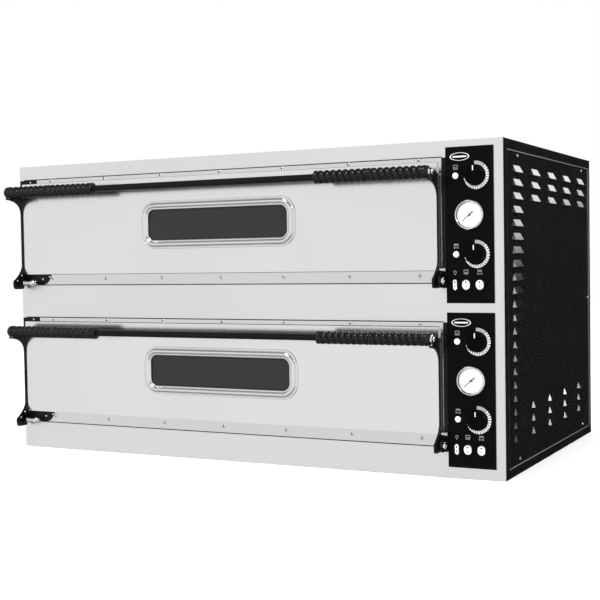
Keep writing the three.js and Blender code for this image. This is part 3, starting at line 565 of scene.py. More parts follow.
class OVEN_OT_casing(bpy.types.Operator):
    """Finish the casing sheets and add their screws, folded edges in lighter grey as a painted highlight,
    and rear cover
    """

    bl_idname = "oven.casing"
    bl_label = "Casing"

    def execute(self, context):
        details = context.scene.oven_details
        for name in ("roof_panel", "base_panel", "back_panel", "right_side_panel", "left_side_panel"):
            dress(name, "casing paint")
        dress("front_fascia", "fascia steel")
        dress("cable_gland", "rubber and shade")
        dress("insulation", "wool")
        self.add_screws(details.casing_screw_radius)
        self.add_folds()
        self.add_rear_cover(details.casing_screw_radius)
        return {"FINISHED"}

    def add_screws(self, radius):
        bm = bmesh.new()
        low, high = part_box("back_panel")
        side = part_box("right_side_panel")
        face = high.x - 0.0018
        centre_z = middle(side).z
        spots = [
            (face, y, z)
            for z in (side[0].z + 0.031, side[1].z - 0.031)
            for y in (side[0].y + 0.112, side[1].y - 0.083)
        ]
        spots.append((face, side[1].y - 0.02, centre_z))
        for sign, normal in ((1, RIGHT), (-1, LEFT)):
            for x, y, z in spots:
                add_screw(bm, facing((sign * x, y, z), normal), radius, 0.0017)
        for x in (-0.6, -0.2, 0.2, 0.6):
            for z in (low.z + 0.02, high.z - 0.02):
                add_screw(bm, facing((x, high.y, z), BACK), radius, 0.0022)
        finish_piece(bm, "casing_screws", "chrome", "cabinet")

    def add_folds(self):
        # The folds are lighter grey strips, a painted highlight where light catches the folded hems of the
        # roof, base and corners.
        bm = bmesh.new()
        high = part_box("roof_panel")[1]
        lower_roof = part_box("back_panel")[1].z
        upper_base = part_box("base_panel")[1].z
        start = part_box("right_side_panel")[0].y + 0.027
        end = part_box("back_panel")[1].y - 0.013
        for sign in (-1, 1):
            outer = sign * (high.x - 0.0016)
            inner = sign * (high.x - 0.0001)
            x = sorted((outer, inner))
            for z0, z1 in ((lower_roof - 0.0016, lower_roof), (upper_base, upper_base + 0.0012)):
                add_block(bm, Matrix(), (x[0], start, z0), (x[1], end, z1), 0.0004)
            for y in (start - 0.0012, end - 0.0012):
                add_block(bm, Matrix(), (x[0], y, upper_base + 0.002),
                          (x[1], y + 0.0012, lower_roof - 0.002), 0.0004)
        finish_piece(bm, "casing_fold_highlights", "fold highlight paint", "cabinet")

    def add_rear_cover(self, radius):
        bm = bmesh.new()
        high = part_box("back_panel")[1]
        gland = middle(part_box("cable_gland"))
        place = facing((gland.x, high.y, gland.z + 0.11), BACK)
        add_rounded_plate(bm, place, 0.16, 0.11, 0.008, 0.0003, 0.0022, rim=0.0006)
        finish_piece(bm, "terminal_cover", "casing paint", "cabinet")
        bm = bmesh.new()
        for u in (-0.068, 0.068):
            for v in (-0.043, 0.043):
                add_screw(bm, place @ Matrix.Translation((u, v, 0.0024)), radius, 0.0022)
        finish_piece(bm, "terminal_cover_screws", "chrome", "cabinet")


class OVEN_OT_flanges(bpy.types.Operator):
    """Finish the chamber flanges and add their screws, black discs painted as shade in the screws' sockets,
    and black strips painted as the shadow lines at the flange strips and door gaps
    """

    bl_idname = "oven.flanges"
    bl_label = "Chamber flanges"

    def execute(self, context):
        details = context.scene.oven_details
        casing_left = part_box("front_fascia")[0].x
        for deck in DECKS:
            dress(f"{deck}_chamber", "chamber sheet")
            chamber_low, chamber_high = deck_box(deck, "chamber")
            skin_low, skin_high = deck_box(deck, "door_skin")
            bracket = deck_box(deck, "hinge_bracket_left")
            strip_low = skin_low.z - 0.0273
            strip_high = bracket[1].z
            screws, socket_shades = bmesh.new(), bmesh.new()
            for index in range(7):
                x = casing_left + 0.104 + index * details.strip_screw_pitch
                for z in (strip_low + 0.0155, strip_high - 0.0045):
                    place = facing((x, chamber_low.y, z), FRONT)
                    add_screw(screws, place, details.strip_screw_radius, 0.0014)
                    # Painted shade: a black disc in each screw's socket darkens the recess.
                    add_turned(socket_shades, place, [
                        (0, 0.0006), (0.0019, 0.0006), (0.0019, 0.0015), (0, 0.0015),
                    ], 16)
            finish_piece(screws, f"{deck}_flange_screws", "chrome", "cabinet")
            finish_piece(socket_shades, f"{deck}_flange_socket_shades", "black print and shade", "cabinet")
            # Painted shadow: black strips at the door's top and bottom edges stand in for the shade in the
            # gaps round the door.
            gap_shade = bmesh.new()
            for z0, z1 in ((skin_low.z - 0.0011, skin_low.z + 0.003),
                           (skin_high.z - 0.003, skin_high.z + 0.0011)):
                add_block(gap_shade, Matrix(), (skin_low.x + 0.001, chamber_low.y - 0.00025, z0),
                          (skin_high.x - 0.001, chamber_low.y + 0.0001, z1))
            finish_piece(gap_shade, f"{deck}_door_gap_shadow", "rubber and shade", "cabinet")
            # Painted shadow: black beads along the strips' outer edges stand in for the shade in the gaps
            # there.
            shadow_line = bmesh.new()
            face = chamber_low.y + 0.0002
            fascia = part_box("front_fascia")[0].y
            for z0, z1 in ((strip_high + 0.0001, strip_high + 0.0024),
                           (strip_low - 0.0024, strip_low - 0.0001)):
                add_block(shadow_line, Matrix(), (chamber_low.x, face, z0), (chamber_high.x - 0.0002, fascia, z1),
                          0.0003)
            finish_piece(shadow_line, f"{deck}_flange_shadow_line", "rubber and shade", "cabinet")
        return {"FINISHED"}


class OVEN_OT_doors(bpy.types.Operator):
    """Finish the doors and add the embossed window frames, gaskets, inner panes and rivets"""

    bl_idname = "oven.doors"
    bl_label = "Doors"

    def execute(self, context):
        details = context.scene.oven_details
        for deck in DECKS:
            body = f"{deck}_door"
            for name, finish in (
                ("door_skin", "door steel"), ("door_liner", "chamber sheet"),
                ("window_glass", "dark glass"), ("arm_left", "cast enamel"),
                ("arm_right", "cast enamel"), ("handle_bar", "bar enamel"),
            ):
                dress(f"{deck}_{name}", finish)
            self.add_window_frame(deck, body, details.window_corner)
            self.add_seals(deck, body)
        return {"FINISHED"}

    def add_window_frame(self, deck, body, corner):
        """A stepped moulding with a rounded band, and the gasket round the glass inside it."""
        low, high = deck_box(deck, "window_frame")
        centre = middle((low, high))
        place = facing((centre.x, high.y, centre.z), FRONT)
        width, height = high.x - low.x, high.z - low.z
        depth = high.y - low.y
        bm = bmesh.new()
        add_rounded_ring(bm, place, width, height, corner, [
            (0, 0), (0, 0.0022), (0.0007, 0.003), (0.0032, 0.003), (0.0038, 0.0022),
            (0.0048, 0.0022), (0.0062, 0.0048), (0.0084, depth - 0.0006), (0.0112, depth),
            (0.0142, depth - 0.0006), (0.0164, 0.0048), (0.0178, 0.003), (0.0202, 0.003),
            (0.0214, 0.0022), (0.022, 0.0008), (0.022, 0),
        ])
        piece = finish_piece(bm, f"{deck}_window_surround", "bright steel", body,
                             sharp=38)
        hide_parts(f"{deck}_window_frame")
        bm = bmesh.new()
        add_rounded_ring(bm, place, width, height, corner, [
            (0.0222, 0.0), (0.0222, 0.0011), (0.0232, 0.0015), (0.0246, 0.0008), (0.0246, 0.0),
        ])
        finish_piece(bm, f"{deck}_window_gasket", "rubber and shade", body)

    def add_seals(self, deck, body):
        glass_low, glass_high = deck_box(deck, "window_glass")
        liner_low, liner_high = deck_box(deck, "door_liner")
        centre = middle((glass_low, glass_high))
        width, height = glass_high.x - glass_low.x, glass_high.z - glass_low.z
        bm = bmesh.new()
        place = facing((centre.x, liner_high.y - 0.006, centre.z), FRONT)
        add_rounded_plate(bm, place, width - 0.004, height - 0.004, 0.018, 0, 0.004, rim=0.0003)
        finish_piece(bm, f"{deck}_inner_pane", "dark glass", body)
        bm = bmesh.new()
        rivet_pitch, rivet_inset = 0.12, 0.012
        liner_x = middle((liner_low, liner_high)).x
        for u in range(-4, 5):
            for z in (liner_low.z + rivet_inset, liner_high.z - rivet_inset):
                spot = (liner_x + u * rivet_pitch, liner_high.y, z)
                add_screw(bm, facing(spot, BACK), 0.0032, 0.0012)
        finish_piece(bm, f"{deck}_liner_rivets", "chrome", body)


class OVEN_OT_handles(bpy.types.Operator):
    """Build the twisted grips, their collars and the end nuts"""

    bl_idname = "oven.handles"
    bl_label = "Handles"

    def execute(self, context):
        for deck in DECKS:
            for side in ("left", "right"):
                self.add_grip(deck, side)
            self.add_fittings(deck)
        return {"FINISHED"}

    def add_grip(self, deck, side):
        """One grip, modelled along local Z from its closed outer end."""
        low, high = deck_box(deck, f"grip_{side}")
        centre = middle((low, high))
        radius = (high.z - low.z) / 2
        length = high.x - low.x
        outer = 0.0 if side == "left" else 0.0115
        bm = bmesh.new()
        ribs = 8
        ring = 0.007
        head = 0.013
        section = (length - outer - head - 2 * ring) / 2
        start = outer + head
        for index in range(2):
            z0 = start + index * (section + ring)
            self.add_strands(bm, z0, z0 + section, section / ribs, radius)
            self.add_collar(bm, z0 + section, ring, radius)
        self.add_head(bm, outer, head, radius, side == "left")
        if side == "left":
            place = facing((low.x, centre.y, centre.z), RIGHT)
        else:
            place = facing((high.x, centre.y, centre.z), LEFT)
        bmesh.ops.transform(bm, matrix=place, verts=bm.verts)
        piece = finish_piece(bm, f"{deck}_roped_grip_{side}", "grip moulding",
                             f"{deck}_door", sharp=70)
        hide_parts(f"{deck}_grip_{side}")

    @staticmethod
    def add_strands(bm, start, end, pitch, radius):
        """Two strands wound about local Z on a core, cut square at both ends."""
        strands = 2
        lead = pitch * strands
        core = radius * 0.67
        rise = radius - core
        turns = (end - start) / lead + 2
        steps = 28
        for strand in range(strands):
            known = set(bm.verts)
            made = bmesh.ops.create_circle(bm, cap_ends=False, segments=14, radius=1)
            squash = Matrix.Diagonal((rise, pitch * 0.52, 1, 1))
            stand = Matrix.Rotation(math.radians(90), 4, "X")
            begin = Matrix.Translation((core, 0, start - lead + strand * pitch))
            bmesh.ops.transform(bm, matrix=begin @ stand @ squash, verts=made["verts"])
            ring = [e for v in made["verts"] for e in v.link_edges]
            bmesh.ops.spin(
                bm, geom=list(set(ring)) + made["verts"], cent=(0, 0, 0), axis=(0, 0, 1),
                dvec=(0, 0, lead / steps), angle=2 * math.pi * turns,
                steps=round(steps * turns), use_merge=False,
            )
            added = [v for v in bm.verts if v not in known]
            for cut, side in ((start, -1), (end, 1)):
                touched = set(v for v in added if v.is_valid)
                geom = list(touched) + list({e for v in touched for e in v.link_edges})
                geom += list({f for v in touched for f in v.link_faces})
                done = bmesh.ops.bisect_plane(bm, geom=geom, dist=1e-7, plane_co=(0, 0, cut),
                                              plane_no=(0, 0, side), clear_outer=True)
                loop = [g for g in done["geom_cut"] if isinstance(g, bmesh.types.BMEdge)]
                bmesh.ops.holes_fill(bm, edges=loop, sides=0)
                added = [v for v in bm.verts if v not in known]
        add_turned(bm, Matrix(), [
            (0, start), (core * 0.98, start), (core * 0.98, end), (0, end),
        ], 24)

    @staticmethod
    def add_collar(bm, start, width, radius):
        """A smooth rounded ring between two roped lengths or at a grip's inner end."""
        add_turned(bm, Matrix(), [
            (0, start - 0.001), (radius * 0.86, start - 0.001), (radius * 0.97, start + width * 0.15),
            (radius, start + width * 0.5), (radius * 0.97, start + width * 0.85),
            (radius * 0.8, start + width), (0, start + width),
        ], 32)

    @staticmethod
    def add_head(bm, start, length, radius, closed):
        """The outer end: a dome, or a ring that seats a nut."""
        if closed:
            profile = [(0, start)]
            for step in range(1, 8):
                turn = math.radians(90 * step / 7)
                profile.append((radius * 0.985 * math.sin(turn), start + length * (1 - math.cos(turn))))
            profile += [(radius * 0.93, start + length + 0.001), (0, start + length + 0.001)]
        else:
            profile = [
                (0, start), (radius * 0.78, start), (radius * 0.9, start + 0.0012),
                (radius * 0.9, start + length * 0.35), (radius * 0.99, start + length * 0.5),
                (radius * 0.99, start + length * 0.9), (radius * 0.88, start + length + 0.001),
                (0, start + length + 0.001),
            ]
        add_turned(bm, Matrix(), profile, 32)

    def add_fittings(self, deck):
        low, high = deck_box(deck, "grip_right")
        centre = middle((low, high))
        bm = bmesh.new()
        place = facing((high.x, centre.y, centre.z), LEFT)
        add_turned(bm, place, [
            (0, 0.0003), (0.003, 0.0007), (0.0062, 0.0032), (0.0075, 0.006), (0.0075, 0.0118), (0, 0.0118),
        ], 24)
        add_hex(bm, place, 0.0098, 0.0062, 0.0116)
        finish_piece(bm, f"{deck}_handle_fixings", "chrome", f"{deck}_door")


class OVEN_OT_hinges(bpy.types.Operator):
    """Finish the hinge brackets and add their bolts, nuts, washers and screws"""

    bl_idname = "oven.hinges"
    bl_label = "Hinges"

    def execute(self, context):
        for deck in DECKS:
            dress(f"{deck}_hinge_bracket_left", "cast enamel")
            dress(f"{deck}_hinge_bracket_right", "cast enamel")
            joint = next(j for j in frame["joints"] if j["name"] == f"{deck}_door_hinge")
            axis_y, axis_z = joint["pos_m"][1], joint["pos_m"][2]
            self.add_left(deck, axis_y, axis_z)
            self.add_right(deck, axis_y, axis_z)
        return {"FINISHED"}

    def add_left(self, deck, axis_y, axis_z):
        low, high = deck_box(deck, "hinge_bracket_left")
        pin_length = 0.048
        pin_end = deck_box(deck, "door_skin")[0].x + pin_length
        place = facing((pin_end, axis_y, axis_z), RIGHT)
        bm = bmesh.new()
        self.add_bolt(bm, place, 0.0056, 0.0345)
        finish_piece(bm, f"{deck}_hinge_bolt_left", "chrome", "cabinet")
        plate_y = deck_box(deck, "chamber")[0].y - 0.0017
        bm = bmesh.new()
        for x, z in ((low.x + 0.07, low.z + 0.02), (low.x + 0.093, high.z - 0.257)):
            add_screw(bm, facing((x, plate_y, z), FRONT), 0.003, 0.0014)
        add_screw(bm, facing((low.x + 0.035, plate_y, high.z - 0.005), FRONT), 0.0026, 0.0012)
        finish_piece(bm, f"{deck}_hinge_screws_left", "chrome", "cabinet")
        arm_low, arm_high = deck_box(deck, "arm_left")
        bm = bmesh.new()
        for dy, dz in ((-0.012, 0.006), (0.005, 0.02)):
            for x, normal in ((arm_high.x, RIGHT), (arm_low.x, LEFT)):
                add_screw(bm, facing((x, axis_y + dy, axis_z + dz), normal), 0.0028, 0.0014)
        finish_piece(bm, f"{deck}_arm_screws_left", "chrome", f"{deck}_door")

    def add_right(self, deck, axis_y, axis_z):
        """The nut on the pin's end, and the stop bolt on its lug above it."""
        arm = deck_box(deck, "arm_right")[1].x
        plate = deck_box(deck, "hinge_bracket_right")[1].y - 0.0024
        stop_ahead, stop_rise = 0.0075, 0.024
        bolt_y, bolt_z = plate - stop_ahead, axis_z + stop_rise
        bm = bmesh.new()
        nut = facing((arm + 0.0085, axis_y, axis_z), RIGHT)
        add_hex(bm, nut, 0.0079, 0, 0.0068)
        add_turned(bm, nut, [(0, 0.0066), (0.0036, 0.0066), (0.0036, 0.0086), (0, 0.0092)], 16)
        bolt = facing((arm + 0.0008, bolt_y, bolt_z), RIGHT)
        add_turned(bm, bolt, [
            (0, 0), (0.0048, 0), (0.0054, 0.0006), (0.0054, 0.0136), (0.0046, 0.0148), (0, 0.0152),
        ], 24)
        finish_piece(bm, f"{deck}_hinge_bolt_right", "chrome", "cabinet")
        bm = bmesh.new()
        add_block(bm, Matrix(), (arm + 0.005, bolt_y, bolt_z - 0.0048),
                  (arm + 0.0125, plate + 0.0008, bolt_z + 0.0048), 0.0006)
        finish_piece(bm, f"{deck}_hinge_lug_right", "cast enamel", "cabinet")

    @staticmethod
    def add_bolt(bm, place, radius, length):
        """A plated sleeve over the pin, with a nut and a washer."""
        add_turned(bm, place, [
            (0, 0.0045), (radius * 0.8, 0.0045), (radius, 0.0035), (radius, -length), (0, -length),
        ], 20)
        add_hex(bm, place, 0.0083, -0.0125, -0.0048)
        add_turned(bm, place, [
            (0.0055, -length - 0.0002), (0.0078, -length - 0.0002), (0.0078, -length + 0.0014),
            (0.0055, -length + 0.0014), (0.0055, -length - 0.0002),
        ], 24)


class OVEN_OT_panels(bpy.types.Operator):
    """Finish the control panels and print their scales, signs and plain name plates"""

    bl_idname = "oven.panels"
    bl_label = "Control panels"

    def execute(self, context):
        details = context.scene.oven_details
        for deck in DECKS:
            dress(f"{deck}_control_panel", "panel paint")
            low, high = deck_box(deck, "control_panel")
            face = deck_box(deck, "chamber")[0].y - 0.0008
            self.thickness = details.print_thickness
            sign_rise, sign_row = 0.0185, 0.0685
            self.white, self.grey = bmesh.new(), bmesh.new()
            knobs = [middle(deck_box(deck, f"knob_{n}")) for n in ("bottom", "top")]
            pilots = [middle(deck_box(deck, f"pilot_{n}")) for n in ("bottom", "top")]
            for knob in knobs:
                self.add_scale(facing((knob.x, face, knob.z), FRONT), details.scale_radius)
            for pilot, heated_top in zip(pilots, (False, True)):
                place = facing((pilot.x, face, pilot.z + sign_rise), FRONT)
                self.add_oven_sign(place, heated_top)
            for name, sign in (("switch_lamp", None), ("switch_top", True), ("switch_bottom", False)):
                rocker = middle(deck_box(deck, name))
                place = facing((rocker.x, face, low.z + sign_row), FRONT)
                if sign is None:
                    self.add_lamp_sign(place)
                else:
                    self.add_oven_sign(place, sign)
            plate_inset, plate_drop = 0.033, 0.022
            self.add_name_plate(facing((low.x + plate_inset, face, high.z - plate_drop), FRONT))
            finish_piece(self.white, f"{deck}_panel_print", "white print", "cabinet")
            finish_piece(self.grey, f"{deck}_panel_fine_print", "grey print", "cabinet")
            screws = bmesh.new()
            gauge_z = middle(pilots).z
            spots = (
                (middle((low, high)).x - 0.004, low.z + 0.0115),
                (high.x - 0.011, gauge_z),
                (low.x + 0.0045, gauge_z - 0.004),
            )
            for x, z in spots:
                add_screw(screws, facing((x, face, z), FRONT), 0.0022, 0.001)
            finish_piece(screws, f"{deck}_panel_screws", "knob moulding", "cabinet")
        return {"FINISHED"}

    def add_scale(self, place, radius):
        """A ring from solid grey through widening blocks to a thin tail."""
        top = self.thickness
        inner = radius * 0.79
        add_arc(self.grey, place, inner, radius, 0, top, -4, 42, 16)
        blocks = 17
        for index in range(blocks):
            start = 45 + index * 11.4
            reach = radius - 0.0006 * (index > 11) * (index - 11)
            add_arc(self.white, place, inner + 0.0003, reach, 0, top, start, start + 8.2, 3)
        add_arc(self.white, place, inner - 0.0006, inner + 0.0001, 0, top, -6, 268, 60)
        add_arc(self.white, place, inner, inner + 0.0024, 0, top, 240, 256, 5)
        add_arc(self.white, place, inner, inner + 0.0014, 0, top, 256, 268, 4)

    def add_oven_sign(self, place, heated_top):
        """A chamber outline with its heat marks above or below."""
        top = self.thickness
        for z in (0.0042, -0.0012) if heated_top else (0.0012, -0.0042):
            add_block(self.grey, place, (-0.0052, z, 0), (0.0052, z + 0.0009, top))
        edge = 0.0012 if heated_top else -0.0042
        rows = -0.0036 if heated_top else 0.0036
        for index in range(4):
            u = -0.0042 + index * 0.0028
            add_block(self.grey, place, (u - 0.0006, rows - 0.0014, 0), (u + 0.0006, rows + 0.0014, top))
        for u in (-0.0052, 0.0044):
            add_block(self.grey, place, (u, edge - 0.002, 0), (u + 0.0008, edge + 0.0036, top))

    def add_lamp_sign(self, place):
        """A bulb outline with its cap."""
        top = self.thickness
        add_arc(self.grey, place, 0.0026, 0.0034, 0, top, -140, 140, 18)
        for row in range(2):
            v = -0.0042 - row * 0.0014
            add_block(self.grey, place, (-0.0016, v, 0), (0.0016, v + 0.0008, top))

    def add_name_plate(self, place):
        """A plain oval plate: a raised rim round an empty field with one bar."""
        known = set(self.white.verts)
        flat = place @ Matrix.Diagonal((0.0225, 0.0088, 1, 1))
        add_arc(self.white, flat, 0.9, 1.0, 0, self.thickness * 3, 0, 360, 40)
        ring = [v for v in self.white.verts if v not in known]
        bmesh.ops.remove_doubles(self.white, verts=ring, dist=1e-6)
        add_rounded_plate(self.white, place, 0.032, 0.0034, 0.0016, 0, self.thickness * 2)


class OVEN_OT_knobs(bpy.types.Operator):
    """Build the thermostat knobs with their fluted rims and printed pointers"""

    bl_idname = "oven.knobs"
    bl_label = "Knobs"

    def execute(self, context):
        for deck in DECKS:
            for name in ("knob_bottom", "knob_top"):
                low, high = deck_box(deck, name)
                axis = middle((low, high))
                skirt_y = deck_box(deck, "chamber")[0].y - 0.0018
                place = facing((axis.x, skirt_y, axis.z), FRONT)
                radius = (high.x - low.x) / 2
                depth = skirt_y - low.y - 0.0008
                bm = bmesh.new()
                add_turned(bm, place, [
                    (0, 0), (radius * 0.97, 0), (radius, 0.0006), (radius, 0.0022),
                    (radius * 0.98, 0.003), (radius * 0.94, 0.0042), (radius * 0.92, depth * 0.5),
                    (radius * 0.91, depth * 0.9), (radius * 0.88, depth), (0, depth),
                ], 64)
                flutes = 24
                for index in range(flutes):
                    turn = Matrix.Rotation(2 * math.pi * index / flutes, 4, "Z")
                    rib = place @ turn @ Matrix.Translation((radius * 0.915, 0, 0))
                    add_block(bm, rib, (-0.0011, -0.0009, 0.0052), (0.0011, 0.0009, depth * 0.92), 0.0005)
                add_turned(bm, place @ Matrix.Translation((0, 0, -0.014)), [
                    (0, 0), (0.003, 0), (0.003, 0.0142), (0, 0.0142),
                ], 16)
                piece = finish_piece(bm, f"{deck}_{name}_moulding", "knob moulding",
                                     f"{deck}_{name}_turn", sharp=40)
                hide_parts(f"{deck}_{name}")
                mark = bmesh.new()
                add_block(mark, place, (-0.0011, radius * 0.42, depth - 0.0002),
                          (0.0011, radius * 0.88, depth + 0.0003), 0.0001)
                finish_piece(mark, f"{deck}_{name}_pointer", "white print",
                             f"{deck}_{name}_turn")
        return {"FINISHED"}


class OVEN_OT_gauges(bpy.types.Operator):
    """Finish the thermometers and add their dial print, glass, and a black ring painted as the bezel's
    shadow round the dial card
    """

    bl_idname = "oven.gauges"
    bl_label = "Thermometers"

    def execute(self, context):
        for deck in DECKS:
            dress(f"{deck}_gauge_case", "bright steel")
            dress(f"{deck}_gauge_needle", "black print and shade")
            low, high = deck_box(deck, "gauge_case")
            axis = middle((low, high))
            card = low.y + 0.006
            place = facing((axis.x, card, axis.z), FRONT)
            inner = (high.x - low.x) / 2 - 0.0045
            bm = bmesh.new()
            add_turned(bm, place, [
                (0.0034, 0.0002), (inner - 0.0004, 0.0002), (inner - 0.0004, 0.0006), (0.0034, 0.0006),
                (0.0034, 0.0002),
            ], 64)
            finish_piece(bm, f"{deck}_dial_card", "dial card", "cabinet")
            self.add_print(deck, place, inner)
            # Painted shadow: a black ring round the dial card stands for the shade that the bezel's inner
            # wall casts on the dial.
            bm = bmesh.new()
            add_turned(bm, place, [
                (inner - 0.0004, 0.0007), (inner + 0.0003, 0.0007), (inner + 0.0003, 0.0034),
                (inner - 0.0004, 0.0034), (inner - 0.0004, 0.0007),
            ], 64)
            finish_piece(bm, f"{deck}_dial_rim_shadow", "rubber and shade", "cabinet")
            bm = bmesh.new()
            add_turned(bm, place, [
                (0, 0.0042), (inner - 0.0003, 0.0036), (inner - 0.0003, 0.0042), (inner * 0.6, 0.0053),
                (0, 0.0056),
            ], 48)
            finish_piece(bm, f"{deck}_dial_glass", "dial glass", "cabinet")
        return {"FINISHED"}

    def add_print(self, deck, place, inner):
        bm = bmesh.new()
        base, top = 0.0006, 0.0008
        start, sweep, steps = -130, 260, 50
        for index in range(steps + 1):
            turn = Matrix.Rotation(-math.radians(start + sweep * index / steps), 4, "Z")
            long = index % 10 == 0
            reach = inner * (0.8 if long else 0.86 if index % 5 == 0 else 0.9)
            half = 0.00028 if long else 0.00014
            add_block(bm, place @ turn, (-half, reach, base), (half, inner * 0.95, top))
        finish_piece(bm, f"{deck}_dial_ticks", "dial print", "cabinet")
        for index in range(6):
            angle = math.radians(start + sweep * index / 5)
            spot = Vector((math.sin(angle), math.cos(angle), 0)) * inner * 0.63
            self.add_number(deck, str(index * 100), place @ Matrix.Translation((spot.x, spot.y, base)))

    @staticmethod
    def add_number(deck, text, place):
        """A number of the dial, flat text turned to mesh before it is placed."""
        curve = bpy.data.curves.new(f"dial_number_{text}", "FONT")
        curve.body = text
        curve.size = 0.0052
        curve.align_x, curve.align_y = "CENTER", "CENTER"
        curve.extrude = 0.00008
        writer = bpy.data.objects.new("dial_number", curve)
        bpy.context.scene.collection.objects.link(writer)
        bpy.context.view_layer.update()
        mesh = bpy.data.meshes.new_from_object(writer.evaluated_get(bpy.context.evaluated_depsgraph_get()))
        bpy.data.objects.remove(writer)
        bm = bmesh.new()
        bm.from_mesh(mesh)
        bpy.data.meshes.remove(mesh)
        bmesh.ops.remove_doubles(bm, verts=bm.verts, dist=1e-7)
        bmesh.ops.transform(bm, matrix=place, verts=bm.verts)
        finish_piece(bm, f"{deck}_dial_number_{text}", "dial print", "cabinet")


class OVEN_OT_switches(bpy.types.Operator):
    """Finish the rockers and pilot lamps and add the rockers' dots"""

    bl_idname = "oven.switches"
    bl_label = "Rockers and lamps"

    def execute(self, context):
        for deck in DECKS:
            for name in ("pilot_bottom", "pilot_top"):
                dress(f"{deck}_{name}", "pilot lens")
            for name in ("switch_lamp", "switch_top", "switch_bottom"):
                dress(f"{deck}_{name}", "pale moulding")
                self.add_dots(deck, name)
        return {"FINISHED"}

    def add_dots(self, deck, name):
        """Two dark dots on the tilted face of a rocker."""
        joint = next(j for j in frame["joints"] if j["name"] == f"{deck}_{name}")
        pivot = Vector(joint["pos_m"])
        rest_tilt = 8
        tilt = Matrix.Rotation(math.radians(rest_tilt), 4, "X")
        place = Matrix.Translation(pivot) @ tilt @ facing((0, 0, 0), FRONT)
        bm = bmesh.new()
        face = 0.0043
        for v, radius in ((-0.0034, 0.0014), (0.0062, 0.002)):
            add_turned(bm, place @ Matrix.Translation((0, v, face)), [
                (0, 0.00005), (radius, 0.00005), (radius, 0.0003), (radius * 0.8, 0.0004), (0, 0.0004),
            ], 20)
        finish_piece(bm, f"{deck}_{name}_dots", "black print and shade", f"{deck}_{name}_rocker")


class OVEN_OT_chambers(bpy.types.Operator):
    """Finish what is inside the chambers and add the stone slabs and element clips"""

    bl_idname = "oven.chambers"
    bl_label = "Chambers"

    def execute(self, context):
        slabs = context.scene.oven_details.stone_slabs
        for deck in DECKS:
            dress(f"{deck}_top_element", "element sheath")
            dress(f"{deck}_bottom_element", "element sheath")
            dress(f"{deck}_chamber_lamp", "lamp glass")
            self.add_stones(deck, slabs)
            self.add_clips(deck)
        return {"FINISHED"}

    def add_stones(self, deck, slabs):
        low, high = deck_box(deck, "stone_floor")
        joint = 0.0015
        width = (high.x - low.x + joint) / slabs
        bm = bmesh.new()
        for index in range(slabs):
            x = low.x + index * width
            add_block(bm, Matrix(), (x, low.y, low.z), (x + width - joint, high.y, high.z), 0.0015, 3)
        piece = finish_piece(bm, f"{deck}_stone_slabs", "stone", "cabinet")
        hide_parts(f"{deck}_stone_floor")

    def add_clips(self, deck):
        """Hangers that hold the upper element under the chamber's roof."""
        low, high = deck_box(deck, "top_element")
        half = 0.006
        bm = bmesh.new()
        for share in (0.12, 0.38, 0.64, 0.9):
            x = low.x + (high.x - low.x) * share
            add_block(bm, Matrix(), (x - half, low.y - 0.01, low.z - 0.0018),
                      (x + half, high.y + 0.01, low.z - 0.0006), 0.0004)
            for y in (low.y - 0.009, high.y + 0.0078):
                add_block(bm, Matrix(), (x - half, y, low.z - 0.001),
                          (x + half, y + 0.0012, high.z + 0.006), 0.0004)
        finish_piece(bm, f"{deck}_element_clips", "chamber sheet", "cabinet")


